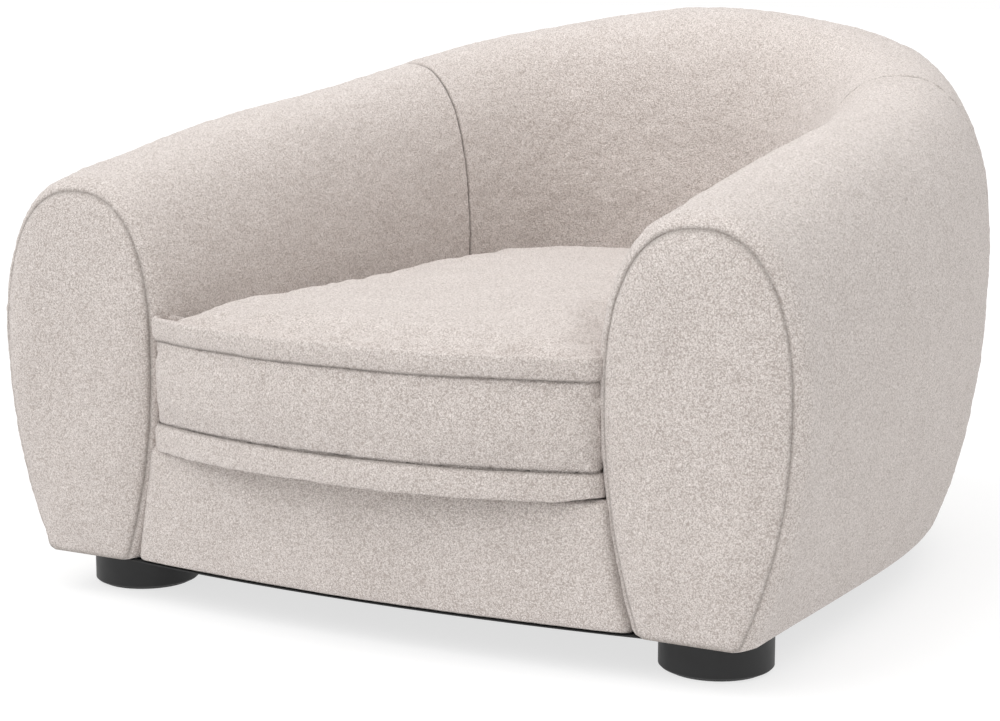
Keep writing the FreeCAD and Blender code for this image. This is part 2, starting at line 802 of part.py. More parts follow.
def make_springs():
    wire_radius = size("spring_wire") / 2
    level = size("timber_top") + size("spring_clip") + wire_radius
    count = int(size("spring_count"))
    springs, clips = [], []
    for i in range(count):
        x = (i - (count - 1) / 2) * size("spring_pitch")
        path = spring_path(x, level)
        start = path.Edges[0].firstVertex().Point
        profile = Part.Wire(Part.makeCircle(wire_radius, start, Vector(1, 0, 0)))
        springs.append(path.makePipeShell([profile], True, False))
        clip_length = 2 * size("spring_swing")
        clip_width = size("rail_timber") * size("clip_width_share")
        for y in (SIDE_RAIL_Y - size("rail_timber") / 2, REAR_RAIL_Y + size("rail_timber") / 2):
            clips.append(Part.makeBox(clip_length, clip_width, size("spring_clip"),
                                      Vector(x - clip_length / 2, y - clip_width / 2,
                                             size("timber_top"))))
    add_shape("seat_springs", Part.makeCompound(springs))
    add_shape("spring_clips", Part.makeCompound(clips))
    tie_level = level + wire_radius + size("tie_wire") / 2
    ties = []
    for share in (1 / 3, 2 / 3):
        y = SIDE_RAIL_Y + (REAR_RAIL_Y - SIDE_RAIL_Y) * share
        reach = SEAT_HALF - size("rail_timber") / 2
        ties.append(Part.makeCylinder(size("tie_wire") / 2, 2 * reach,
                                      Vector(-reach, y, tie_level), Vector(1, 0, 0)))
    add_shape("spring_tie_wires", Part.makeCompound(ties))
    return tie_level + size("tie_wire") / 2


def make_deck(bottom):
    """Spring cloth, deck pad and deck cloth, cut to the inner face of the horseshoe."""
    front = FRONT_PLANE + size("rail_front_setback") + COVER + GAP + size("rail_foam") + GAP
    bow = size("rail_bow")
    pad_bottom = bottom + size("spring_cloth") + GAP
    for label, low, high in (("spring_cloth", bottom, bottom + size("spring_cloth")),
                             ("deck_pad", pad_bottom, DECK_BOTTOM - GAP)):
        contour = inner_contour(low, size("seat_gap"), front, bow, levels=(high,))
        add_shape(label, flat_slab(contour, high - low))
    cover_front = FRONT_PLANE + size("rail_front_setback")
    contour = inner_contour(DECK_BOTTOM, size("seat_gap"), cover_front, bow)
    add_shape("deck_cloth", flat_slab(contour, size("deck_cloth")))


def make_joining_plates():
    """Steel plates under the base that tie the seat box to the arm and back boards."""
    thickness = size("plate_thickness")
    bottom = BASE_BOTTOM - thickness
    plates, screws = [], []
    hem_inner = gap_half(HEM, 0.0)
    for _, side in SIDES:
        for share in (size("plate_front_share"), size("plate_rear_share")):
            y = SIDE_RAIL_Y + (REAR_RAIL_Y - SIDE_RAIL_Y) * share
            middle = (SEAT_HALF - size("rail_timber") / 2 + hem_inner + size("plate_overlap")) / 2
            low = Vector(side * middle - size("plate_length") / 2,
                         y - size("plate_width") / 2, bottom)
            plate = Part.makeBox(size("plate_length"), size("plate_width"), thickness, low)
            for x in (SEAT_HALF - size("rail_timber") / 2, hem_inner + size("screw_overlap")):
                at = Vector(side * x, y, bottom)
                hole = Part.makeCylinder(size("screw_radius"), thickness, at)
                plate = plate.cut(hole)
                screws.append(Part.makeCylinder(size("screw_radius"), size("screw_length"), at))
            plates.append(plate)
    add_shape("joining_plates", Part.makeCompound(plates))
    return screws


def pierce(label, tools):
    """Cut pilot holes into a node that is already made."""
    item = next(node for node in nodes if node.Label == label)
    shape = item.Shape
    for tool in tools:
        if tool.BoundBox.intersect(shape.BoundBox):
            shape = shape.cut(tool)
    holder = add_shape(f"{label}_drilled", shape)
    nodes.remove(item)
    document.removeObject(item.Name)
    holder.Label = label


def make_dust_cloth():
    """Black cloth stretched under the whole base, with a round hole for each foot."""
    level = HEM - GAP - size("dust_cloth")
    half = [Station(place) for place in even(place_at(size("front_board_setback")),
                                             -place_at(size("front_board_setback")), 61)]
    points = [s.point(s.section(1)[0] - size("dust_cloth_inset"), level) for s in half]
    face_y = FRONT_PLANE + size("rail_front_setback") + COVER + GAP
    first, final = points[0], points[-1]
    edges = [curve(points), Part.Arc(final, Vector(0, face_y - size("rail_bow"), level),
                                     first).toShape()]
    cloth = flat_slab(Part.Wire(edges), size("dust_cloth"))
    for x, y in foot_places().values():
        cloth = cloth.cut(Part.makeCylinder(size("foot_radius") + GAP, size("dust_cloth"),
                                            Vector(x, y, level)))
    add_shape("dust_cloth", cloth)


# ---------------------------------------------------------------- feet
def foot_profile(body, name):
    """Sketch of half a foot's section, each corner bound to cells of the sheet."""
    plane = next(f for f in body.Origin.OriginFeatures if f.Role == "XZ_Plane")
    sketch = body.newObject("Sketcher::SketchObject", f"{name}_foot_profile")
    sketch.AttachmentSupport = (plane, [""])
    sketch.MapMode = "FlatFace"
    inner, outer = "Sizes.bolt_hole_radius", "Sizes.foot_radius"
    low, high = "Sizes.glide_thickness", "Sizes.base_bottom"
    bevel = "Sizes.foot_chamfer"
    corners = [(inner, low), (f"{outer} - {bevel}", low), (outer, f"{low} + {bevel}"),
               (outer, high), (inner, high)]
    guess = [(5, 3), (62, 3), (64, 5), (64, 55), (5, 55)]
    for i, corner in enumerate(guess):
        after = guess[(i + 1) % len(guess)]
        sketch.addGeometry(Part.LineSegment(Vector(*corner, 0), Vector(*after, 0)), False)
    for i, corner in enumerate(corners):
        sketch.addConstraint(Sketcher.Constraint(
            "Coincident", i, 2, (i + 1) % len(corners), 1))
        for kind, value, expression in zip(("DistanceX", "DistanceY"), guess[i], corner):
            index = sketch.addConstraint(Sketcher.Constraint(kind, -1, 1, i, 1, value))
            sketch.setExpression(f"Constraints[{index}]", expression)
    return sketch


def make_feet():
    """Turned feet, each on a felt glide and held by one bolt in a T-nut."""
    bolts, nuts, glides = [], [], []
    for end in ("front", "rear"):
        for name, side in SIDES:
            foot = f"{end}_{name}"
            x = f"{side} * Sizes.{end}_foot_x"
            y = f"Sizes.{end}_foot_y"
            body = document.addObject("PartDesign::Body", f"{foot}_foot")
            body.Label = f"{foot}_foot"
            sketch = foot_profile(body, foot)
            turning = body.newObject("PartDesign::Revolution", f"{foot}_foot_turning")
            turning.Profile = sketch
            turning.ReferenceAxis = (sketch, ["V_Axis"])
            turning.Angle = 360
            body.setExpression("Placement.Base.x", x)
            body.setExpression("Placement.Base.y", y)
            nodes.append(body)
            bolts.append(add_bound("Part::Cylinder", f"{foot}_bolt", {
                "Radius": "Sizes.bolt_radius",
                "Height": "Sizes.base_board + Sizes.bolt_bite"},
                (x, y, "Sizes.base_bottom - Sizes.bolt_bite"), node=False))
            flange = add_bound("Part::Cylinder", f"{foot}_flange", {
                "Radius": "Sizes.t_nut_radius - Sizes.layer_gap / 2",
                "Height": "Sizes.t_nut_flange"},
                (x, y, "Sizes.base_top - Sizes.t_nut_flange"), node=False)
            nut = document.addObject("Part::Cut", f"{foot}_t_nut")
            nut.Base = flange
            nut.Tool = bolts[-1]
            nuts.append(nut)
            glides.append(add_bound("Part::Cylinder", f"{foot}_glide", {
                "Radius": "Sizes.glide_radius", "Height": "Sizes.glide_thickness"},
                (x, y, "0 mm"), node=False))
    add_group("foot_bolts", bolts)
    add_group("t_nuts", nuts)
    add_group("felt_glides", glides)


# ---------------------------------------------------------------- cushion
CUSHION_BOTTOM = size("deck_level") + size("cushion_lift_gap")
SEAM_LOW = CUSHION_BOTTOM + size("cushion_belly")
SEAM_HIGH = SEAM_LOW + size("boxing_height")
CUSHION_TOP = SEAM_HIGH + size("cushion_crown")


def cushion_outline(height, inset):
    """Plan outline of the cushion at a height, drawn in from the flange edge."""
    clearance = size("cushion_clearance") + inset
    front_y = FRONT_PLANE - size("cushion_overhang") + size("cushion_bow") + inset
    levels = [CUSHION_BOTTOM + (CUSHION_TOP - CUSHION_BOTTOM) * i / 4 for i in range(5)]
    wire = inner_contour(height, clearance, front_y, size("cushion_bow"),
                         size("cushion_corner"), levels)
    return wire


def shrunk(height, inset, share):
    """Cushion outline scaled about its middle."""
    wire = cushion_outline(height, inset)
    box = wire.BoundBox
    middle = Vector(0, (box.YMin + box.YMax) / 2, height)
    matrix = FreeCAD.Matrix()
    matrix.move(-middle)
    matrix.scale(share, share, 1.0)
    matrix.move(middle)
    return wire.transformGeometry(matrix)


# the cushion's crown: share of its rise, and the share of its plan that reaches it
CROWN_STEPS = ((0.0, 1.0), (0.4, 0.95), (0.7, 0.84), (0.9, 0.66), (1.0, 0.4))


def crown(inset, level, rise):
    """Domed block on a level: upwards for a positive rise."""
    wires = [shrunk(level + rise * share, inset, width) for share, width in CROWN_STEPS]
    return Part.makeLoft(wires, True, True)


def make_cushion():
    flange, wrap, cover = size("flange_width"), size("wrap_thickness"), COVER
    boxing = flat_slab(cushion_outline(SEAM_LOW, flange), SEAM_HIGH - SEAM_LOW)
    hollow = flat_slab(cushion_outline(SEAM_LOW, flange + cover), SEAM_HIGH - SEAM_LOW)
    wall = boxing.cut(hollow)
    rear = boxing.BoundBox.YMax
    zip_middle = (SEAM_LOW + SEAM_HIGH) / 2
    slot = Part.makeBox(size("zip_length"), 3 * size("zip_height"), size("zip_height"),
                        Vector(-size("zip_length") / 2, rear - 3 * size("zip_height"),
                               zip_middle - size("zip_height") / 2))
    add_shape("cushion_zip", wall.common(slot))
    add_shape("cushion_boxing", wall.cut(slot))
    for label, seam, side in (("top", SEAM_HIGH, 1), ("bottom", SEAM_LOW, -1)):
        low = seam if side > 0 else seam - size("flange_thickness")
        ring = flat_slab(cushion_outline(low, 0.0), size("flange_thickness"))
        ring = ring.cut(flat_slab(cushion_outline(low, flange + cover + GAP),
                                  size("flange_thickness")))
        add_shape(f"cushion_{label}_flange", ring)
        rise = CUSHION_TOP - SEAM_HIGH if side > 0 else CUSHION_BOTTOM - SEAM_LOW
        inset = flange + cover + 2 * GAP
        skin = crown(inset, seam, rise)
        filling = crown(inset, seam, rise)
        filling.translate(Vector(0, 0, -side * cover))
        add_shape(f"cushion_{label}_panel", skin.cut(filling))
        core_edge = seam - side * wrap
        pad = crown(inset + GAP, seam, rise)
        pad.translate(Vector(0, 0, -side * (cover + GAP)))
        slab_low = min(core_edge, seam + rise)
        slab = flat_slab(cushion_outline(slab_low, inset + GAP), abs(seam + rise - core_edge))
        add_shape(f"cushion_{label}_wrap", pad.common(slab))
    core_low, core_high = SEAM_LOW + wrap + GAP, SEAM_HIGH - wrap - GAP
    add_shape("cushion_core", flat_slab(cushion_outline(core_low, flange + cover + 2 * GAP),
                                        core_high - core_low))


def fault(item):
    """Say what is wrong with a node: a failed object, an empty or invalid shape."""
    if "Invalid" in item.State or "Error" in item.State:
        return "failed"
    shape = item.Shape
    if shape.isNull() or not shape.Solids:
        return "has no solid"
    if not shape.isValid():
        return "is not valid"
    if min(solid.Volume for solid in shape.Solids) <= 0:
        return "is inside out"
    return ""


def main():
    make_covers()
    make_foam()
    make_hardboard()
    make_top_rails()
    make_base_boards()
    make_formers()
    make_arm_fronts()
    make_front_rail()
    make_seat_box()
    make_deck(make_springs())
    screws = make_joining_plates()
    make_dust_cloth()
    make_feet()
    make_cushion()
    document.recompute()
    for label in ("left_arm_base_board", "right_arm_base_board", "seat_side_rails"):
        pierce(label, screws)
    add_shape("plate_screws", Part.makeCompound(screws))
    document.recompute()
    os.makedirs("parts", exist_ok=True)
    faults = [f"{item.Label} {fault(item)}" for item in nodes if fault(item)]
    if faults:
        raise RuntimeError("; ".join(faults))
    for item in nodes:
        item.Shape.exportStep(os.path.join("parts", f"{item.Label}.step"))
        box = item.Shape.BoundBox
        print(f"{item.Label}: {box.XLength:.0f} x {box.YLength:.0f} x {box.ZLength:.0f} mm,"
              f" {len(item.Shape.Solids)} solid(s), {item.Shape.Volume / 1000:.0f} cm3")
    print(len(nodes), "nodes")


main()
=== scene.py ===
"""Upholstered tub armchair in looped wool fabric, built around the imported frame.

Everything is in metres, +Z up; the sitter faces -Y and +X is the sitter's left.
"""

import itertools
import json
import logging
import math
from dataclasses import dataclass, field
from enum import Enum

import bpy
import numpy as np
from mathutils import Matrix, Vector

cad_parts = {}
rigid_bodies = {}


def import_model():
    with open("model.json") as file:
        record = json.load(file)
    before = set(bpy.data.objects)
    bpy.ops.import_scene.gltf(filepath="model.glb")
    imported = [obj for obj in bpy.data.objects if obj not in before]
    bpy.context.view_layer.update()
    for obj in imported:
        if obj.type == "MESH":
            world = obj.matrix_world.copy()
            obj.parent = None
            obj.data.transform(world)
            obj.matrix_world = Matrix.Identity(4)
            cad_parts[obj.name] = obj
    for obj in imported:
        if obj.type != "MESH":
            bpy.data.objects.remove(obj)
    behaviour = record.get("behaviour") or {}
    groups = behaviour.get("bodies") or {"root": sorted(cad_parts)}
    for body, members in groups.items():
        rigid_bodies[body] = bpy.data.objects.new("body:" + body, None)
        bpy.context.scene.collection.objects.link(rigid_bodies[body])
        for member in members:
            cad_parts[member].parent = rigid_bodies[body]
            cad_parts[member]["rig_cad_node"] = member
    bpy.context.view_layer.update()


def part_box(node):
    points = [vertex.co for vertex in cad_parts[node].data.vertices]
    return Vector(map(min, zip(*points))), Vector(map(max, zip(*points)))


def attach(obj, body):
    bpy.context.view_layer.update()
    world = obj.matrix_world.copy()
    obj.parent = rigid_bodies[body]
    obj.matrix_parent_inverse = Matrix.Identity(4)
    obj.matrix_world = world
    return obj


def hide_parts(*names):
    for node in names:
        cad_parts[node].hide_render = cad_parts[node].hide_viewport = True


log = logging.getLogger("armchair")

FRAME_BODY = "chair"
CUSHION_BODY = "seat_cushion"
TAU = 2 * math.pi


class Sector(Enum):
    """Stretches of the horseshoe, each covered by its own piece of fabric."""

    LEFT_ARM = "left_arm"
    BACK = "back"
    RIGHT_ARM = "right_arm"


class Side(Enum):
    """The sitter's left and right, with the sign of X there."""

    LEFT = 1
    RIGHT = -1


# ------------------------------------------------------------------------------ numbers
def lattice_noise(points: np.ndarray, cell: float, seed: int) -> np.ndarray:
    """Smooth random values: numbers on a cubic lattice, blended by 3f^2 - 2f^3.

    Args:
        points: Places, an array that ends in an axis of three.
        cell: Lattice spacing in metres.
        seed: Picks the set of numbers.

    Returns:
        One value from -1 to 1 for each place.
    """
    scaled = points / cell
    corner = np.floor(scaled).astype(np.int64)
    share = scaled - corner
    share = share * share * (3 - 2 * share)
    total = np.zeros(points.shape[:-1])
    for step in itertools.product((0, 1), repeat=3):
        at = corner + np.array(step)
        key = at[..., 0] * 73856093 ^ at[..., 1] * 19349663 ^ at[..., 2] * 83492791 ^ seed * 9973
        key = (key ^ (key >> 13)) * 1274126177 & 0xFFFFFFFF
        key = (key ^ (key >> 15)) * 2246822519 & 0xFFFFFFFF
        value = (key >> 12 & 0xFFFF) / 32767.5 - 1
        total += np.prod(np.where(np.array(step) == 1, share, 1 - share), axis=-1) * value
    return total


@dataclass(frozen=True)
class Relief:
    """How far padded fabric stands off its smooth shape: (cell, height, seed) of each
    size of unevenness, from slow waves in the padding to clumps of yarn."""

    layers: tuple[tuple[float, float, int], ...] = (
        (0.16, 0.0022, 3), (0.055, 0.0011, 5), (0.018, 0.0006, 7), (0.0075, 0.0006, 11),
        (0.0045, 0.0005, 13))

    def at(self, points: np.ndarray) -> np.ndarray:
        """Sum of the layers at each place, in metres."""
        return sum(height * lattice_noise(points, cell, seed)
                   for cell, height, seed in self.layers)


@dataclass(frozen=True)
class Seam:
    """Sewn seam: fabric rolls down into it on a quarter circle, squeezed to its depth."""

    depth: float = 0.0042
    reach: float = 0.0055
    line: float = 0.0019
    pucker_cell: float = 0.024
    pucker: float = 0.3

    def crease(self, distance: np.ndarray) -> np.ndarray:
        """Painted seam shade mask: 1 in the seam, fading as exp(-(d/line)^2)."""
        return np.exp(-(distance / self.line) ** 2)

    def sink(self, distance: np.ndarray, points: np.ndarray) -> np.ndarray:
        """Depth below the surface at a distance from the seam: depth times
        1 - sqrt(1 - (1 - d/reach)^2), more or less by the puckers along it.

        Args:
            distance: Distance to the seam in metres, broadcast against the points.
            points: Places, for the puckers.

        Returns:
            Depth in metres at each place.
        """
        near = np.clip(1 - distance / self.reach, 0, 1)
        puckers = 1 + self.pucker * lattice_noise(points, self.pucker_cell, 17)
        return self.depth * puckers * (1 - np.sqrt(1 - near**2))


def seam_spaced(length: float, cell: float, first: bool = True, last: bool = True) -> np.ndarray:
    """Distances from 0 to a length, a cell apart, and closer near the ends with a seam."""
    fine = np.array([0.0, 0.0003, 0.0008, 0.0015, 0.0025, 0.0038, 0.0055, 0.008])
    head = fine if first else np.array([0.0])
    tail = length - (fine if last else np.array([0.0]))[::-1]
    count = max(int((tail[0] - head[-1]) / cell), 2)
    middle = np.linspace(head[-1], tail[0], count + 1)[1:-1]
    return np.concatenate([head, middle, tail])


def smooth_step(value: np.ndarray, low: float, high: float) -> np.ndarray:
    """0 below low, 1 above high and 3t^2 - 2t^3 between."""
    t = np.clip((value - low) / (high - low), 0, 1)
    return t * t * (3 - 2 * t)


# ------------------------------------------------------------------------------- meshes
def ring_normals(rings: np.ndarray, looped: bool) -> np.ndarray:
    """Outward unit normals of a grid of closed rings: the cross product of the steps
    along and around it, turned away from each ring's middle."""
    around = np.roll(rings, -1, axis=1) - np.roll(rings, 1, axis=1)
    if looped:
        along = np.roll(rings, -1, axis=0) - np.roll(rings, 1, axis=0)
    else:
        along = np.gradient(rings, axis=0)
    normals = np.cross(along, around)
    normals /= np.maximum(np.linalg.norm(normals, axis=-1, keepdims=True), 1e-12)
    outward = rings - rings.mean(axis=1, keepdims=True)
    return normals if (normals * outward).sum() > 0 else -normals


def mesh_object(name: str, points: np.ndarray, quads: np.ndarray,
                triangles: np.ndarray) -> bpy.types.Object:
    """Smooth-shaded closed mesh from arrays, with its faces turned outwards.

    Args:
        name: Name of the object and its mesh.
        points: Vertices, (n, 3).
        quads: Four vertex numbers for each quad.
        triangles: Three vertex numbers for each triangle.

    Returns:
        The object, linked to the scene at the origin.
    """
    split = np.concatenate([quads[:, [0, 1, 2]], quads[:, [0, 2, 3]], triangles])
    a, b, c = (points[split[:, i]] for i in range(3))
    if (np.cross(a, b) * c).sum() < 0:
        quads, triangles = quads[:, ::-1], triangles[:, ::-1]
    mesh = bpy.data.meshes.new(name)
    mesh.vertices.add(len(points))
    mesh.vertices.foreach_set("co", points.astype(np.float32).ravel())
    loops = np.concatenate([quads.ravel(), triangles.ravel()])
    starts = np.concatenate([np.arange(len(quads)) * 4,
                             len(quads) * 4 + np.arange(len(triangles)) * 3])
    mesh.loops.add(len(loops))
    mesh.loops.foreach_set("vertex_index", loops.astype(np.int32))
    mesh.polygons.add(len(starts))
    mesh.polygons.foreach_set("loop_start", starts.astype(np.int32))
    mesh.polygons.foreach_set("use_smooth", np.ones(len(starts), dtype=bool))
    mesh.update(calc_edges=True)
    mesh.validate()
    piece = bpy.data.objects.new(name, mesh)
    bpy.context.scene.collection.objects.link(piece)
    return piece


def store_painted_crease_shade(piece: bpy.types.Object, depth: np.ndarray) -> None:
    """Store how deep in a seam each vertex lies, from 0 to 1, as the mask of the fabric's painted
    seam shade.
    """
    kept = piece.data.attributes
    attribute = kept.get("crease") or kept.new("crease", "FLOAT", "POINT")
    attribute.data.foreach_set("value", depth.astype(np.float32))


def ring_object(name: str, rings: np.ndarray, looped: bool = False,
                crease: np.ndarray | None = None) -> bpy.types.Object:
    """Closed mesh over rings of points: joined end to end when looped, and otherwise
    closed by a fan to the middle of the first and the last ring.

    Args:
        name: Name of the object.
        rings: Points, (n, m, 3).
        looped: Whether the last ring is joined to the first.
        crease: Depth in a seam, from 0 to 1, broadcast against the rings.

    Returns:
        The object.
    """
    count, around = rings.shape[:2]
    first = np.arange(count * around).reshape(count, around)
    rows = first if looped else first[:-1]
    after = np.roll(first, -1, axis=0) if looped else first[1:]
    quads = np.stack([rows, np.roll(rows, -1, axis=1), np.roll(after, -1, axis=1), after],
                     axis=-1).reshape(-1, 4)
    points = rings.reshape(-1, 3)
    depth = np.zeros((count, around)) if crease is None else crease + np.zeros((count, around))
    if looped:
        piece = mesh_object(name, points, quads, np.zeros((0, 3), dtype=np.int64))
        store_painted_crease_shade(piece, depth.ravel())
        return piece
    poles = np.stack([rings[0].mean(axis=0), rings[-1].mean(axis=0)])
    fans = []
    for pole, ring, turn in ((len(points), first[0], -1), (len(points) + 1, first[-1], 1)):
        following = np.roll(ring, -1)
        ends = (ring, following) if turn > 0 else (following, ring)
        fans.append(np.stack([ends[0], ends[1], np.full(around, pole)], axis=-1))
    piece = mesh_object(name, np.concatenate([points, poles]), quads, np.concatenate(fans))
    store_painted_crease_shade(piece, np.append(depth.ravel(), (depth[0, 0], depth[-1, 0])))
    return piece


# ---------------------------------------------------------------------------- materials
@dataclass
class Wiring:
    """Adds nodes to a tree and joins them, in columns from left to right."""

    tree: bpy.types.NodeTree
    column: int = 0

    def add(self, kind: str, settings: dict[str, object] | None = None,
            **inputs: object) -> bpy.types.Node:
        """Add a node.

        Args:
            kind: Node type without its "ShaderNode" prefix.
            settings: Attributes of the node itself.
            inputs: Values or output sockets for its inputs, with _ for a space.

        Returns:
            The node.
        """
        node = self.tree.nodes.new(kind if kind.startswith("Node") else f"ShaderNode{kind}")
        self.column += 1
        node.location = (self.column * 190, -60 * (self.column % 3))
        for name, value in (settings or {}).items():
            setattr(node, name, value)
        for name, value in inputs.items():
            self.feed(node, name.replace("_", " "), value)
        return node

    def feed(self, node: bpy.types.Node, name: str | int, value: object) -> None:
        """Give an input a value, or join an output socket to it."""
        if isinstance(value, bpy.types.NodeSocket):
            self.tree.links.new(value, node.inputs[name])
        else:
            node.inputs[name].default_value = value

    def maths(self, operation: str, *values: object) -> bpy.types.NodeSocket:
        """Math node on sockets or numbers; its output."""
        node = self.add("Math", {"operation": operation})
        for i, value in enumerate(values):
            self.feed(node, i, value)
        return node.outputs[0]

    def mix(self, factor: object, first: object, second: object) -> bpy.types.NodeSocket:
        """Colour mix of two colours or sockets; its output."""
        node = self.add("Mix", {"data_type": "RGBA"})
        for index, value in ((0, factor), (6, first), (7, second)):
            self.feed(node, index, value)
        return node.outputs[2]

    def ranged(self, value: object, low: float, high: float, to_low: float = 0.0,
               to_high: float = 1.0) -> bpy.types.NodeSocket:
        """Map Range of a value, clamped; its output."""
        node = self.add("MapRange")
        for index, number in enumerate((value, low, high, to_low, to_high)):
            self.feed(node, index, number)
        return node.outputs[0]


def new_group(name: str, inputs: dict[str, tuple[str, object]],
              outputs: dict[str, str]) -> tuple[bpy.types.NodeTree, Wiring, object, object]:
    """Shader node group with named sockets.

    Args:
        name: Name of the group.
        inputs: Socket type and starting value by name.
        outputs: Socket type by name.

    Returns:
        The group, a wiring for it, and its input and output nodes.
    """
    group = bpy.data.node_groups.new(name, "ShaderNodeTree")
    for label, (kind, value) in inputs.items():
        socket = group.interface.new_socket(name=label, in_out="INPUT", socket_type=kind)
        if value is not None:
            socket.default_value = value
    for label, kind in outputs.items():
        group.interface.new_socket(name=label, in_out="OUTPUT", socket_type=kind)
    wiring = Wiring(group)
    source = wiring.add("NodeGroupInput")
    return group, wiring, source, group.nodes.new("NodeGroupOutput")


def looped_yarn_group() -> bpy.types.NodeTree:
    """Looped yarn: rounded curls (smooth Voronoi cells on warped coordinates), bigger
    clumps of them, and stray fibres. Gives the height of the pile and its colour, which
    runs from Shade in the low pits to Lit on the loop tops: painted shade in the pits."""
    group, w, source, out = new_group(
        "looped_yarn",
        {"Vector": ("NodeSocketVector", None), "Loop": ("NodeSocketFloat", 300.0),
         "Lit": ("NodeSocketColor", (0.8, 0.8, 0.8, 1)),
         "Shade": ("NodeSocketColor", (0.5, 0.5, 0.5, 1)),
         "Mottle": ("NodeSocketFloat", 0.06)},
        {"Color": "NodeSocketColor", "Height": "NodeSocketFloat"})
    place, loop = source.outputs["Vector"], source.outputs["Loop"]
    warp = w.add("TexNoise", Vector=place, Scale=w.maths("MULTIPLY", loop, 0.42), Detail=2.0)
    pushed = w.add("VectorMath", {"operation": "MULTIPLY_ADD"})
    w.feed(pushed, 0, warp.outputs["Color"])
    w.feed(pushed, 1, (0.0052, 0.0052, 0.0052))
    w.feed(pushed, 2, place)
    curls = w.add("TexVoronoi", {"feature": "SMOOTH_F1"}, Vector=pushed.outputs[0],
                  Scale=loop, Smoothness=0.35)
    clumps = w.add("TexVoronoi", {"feature": "SMOOTH_F1"}, Vector=pushed.outputs[0],
                   Scale=w.maths("MULTIPLY", loop, 0.45), Smoothness=0.6)
    fibres = w.add("TexNoise", Vector=place, Scale=w.maths("MULTIPLY", loop, 3.4), Detail=3.0)
    small = w.ranged(curls.outputs["Distance"], 0.05, 0.8, 1.0, 0.0)
    large = w.ranged(clumps.outputs["Distance"], 0.0, 0.8, 1.0, 0.0)
    height = w.maths("MULTIPLY_ADD", large, 0.12, w.maths("MULTIPLY", small, 0.6))
    height = w.maths("MULTIPLY_ADD", fibres.outputs[0], 0.28, height)
    slow = w.add("TexNoise", Vector=place, Scale=16.0, Detail=4.0, Roughness=0.62)
    patch = w.maths("MULTIPLY", w.ranged(slow.outputs[0], 0.3, 0.7, -1.0, 1.0),
                    source.outputs["Mottle"])
    # Painted shade: low pile takes the Shade colour, high pile the Lit colour.
    lit = w.maths("ADD", w.ranged(height, 0.22, 0.82), patch)
    colour = w.mix(w.maths("MAXIMUM", w.maths("MINIMUM", lit, 1.0), 0.0),
                   source.outputs["Shade"], source.outputs["Lit"])
    w.feed(out, "Color", colour)
    w.feed(out, "Height", height)
    return group


def woven_group() -> bpy.types.NodeTree:
    """Plain weave: two sets of threads as sine bands across each other. Gives the height
    of the weave and a mask of the gaps."""
    group, w, source, out = new_group(
        "plain_weave", {"Vector": ("NodeSocketVector", None),
                        "Threads": ("NodeSocketFloat", 800.0)},
        {"Height": "NodeSocketFloat", "Gaps": "NodeSocketFloat"})
    split = w.add("SeparateXYZ", Vector=source.outputs["Vector"])
    waves = []
    for axis in ("X", "Y"):
        turns = w.maths("MULTIPLY", split.outputs[axis], source.outputs["Threads"])
        waves.append(w.maths("SINE", w.maths("ADD", turns, split.outputs["Z"])))
    height = w.maths("MULTIPLY_ADD", w.maths("MULTIPLY", waves[0], waves[1]), 0.5, 0.5)
    w.feed(out, "Height", height)
    w.feed(out, "Gaps", w.ranged(height, 0.25, 0.0))
    return group


def grain_group() -> bpy.types.NodeTree:
    """Wood grain: long noise stretched along X, with darker latewood bands. Gives a
    mask from light to dark wood."""
    group, w, source, out = new_group(
        "wood_grain", {"Vector": ("NodeSocketVector", None), "Scale": ("NodeSocketFloat", 1.0)},
        {"Grain": "NodeSocketFloat"})
    stretched = w.add("Mapping", Vector=source.outputs["Vector"], Scale=(3.0, 60.0, 60.0))
    coarse = w.add("TexNoise", Vector=stretched.outputs[0], Scale=source.outputs["Scale"],
                   Detail=5.0, Roughness=0.6, Distortion=0.6)
    bands = w.add("TexWave", {"wave_type": "BANDS", "bands_direction": "Y"},
                  Vector=stretched.outputs[0], Scale=0.35, Distortion=5.0, Detail=3.0)
    w.feed(out, "Grain", w.maths("MULTIPLY_ADD", bands.outputs[1], 0.35,
                                 w.maths("MULTIPLY", coarse.outputs[0], 0.65)))
    return group


Colour = tuple[float, float, float, float]


@dataclass(frozen=True)
class Finish:
    """A material: its name, its two colours and its roughness."""

    name: str
    light: Colour
    dark: Colour
    roughness: float

    def start(self) -> tuple[bpy.types.Material, Wiring, bpy.types.NodeSocket, bpy.types.Node]:
        """New material: itself, its wiring, its Object coordinates and its shader."""
        material = bpy.data.materials.new(self.name)
        material.use_nodes = True
        material.node_tree.nodes.clear()
        wiring = Wiring(material.node_tree)
        place = wiring.add("TexCoord").outputs["Object"]
        shader = material.node_tree.nodes.new("ShaderNodeBsdfPrincipled")
        shader.location = (1900, 0)
        output = material.node_tree.nodes.new("ShaderNodeOutputMaterial")
        output.location = (2200, 0)
        material.node_tree.links.new(shader.outputs[0], output.inputs[0])
        material.diffuse_color = self.light
        return material, wiring, place, shader

    def join(self, wiring: Wiring, shader: bpy.types.Node, colour: object,
             worn: tuple[object, float, float, float, float], height: object,
             strength: float, distance: float) -> None:
        """Feed the shader.

        Args:
            wiring: Wiring of the material.
            shader: Its shader node.
            colour: Socket with the base colour.
            worn: Socket that the roughness follows, its low and high values, and the
                roughness at each.
            height: Socket with the height for the Bump node.
            strength: Strength of the bump.
            distance: Height of the bump in metres.
        """
        wiring.feed(shader, "Base Color", colour)
        wiring.feed(shader, "Roughness", wiring.ranged(*worn))
        bump = wiring.add("Bump", Strength=strength, Distance=distance, Height=height)
        wiring.feed(shader, "Normal", bump.outputs[0])

    def build(self) -> bpy.types.Material:
        """Make the material."""
        raise NotImplementedError


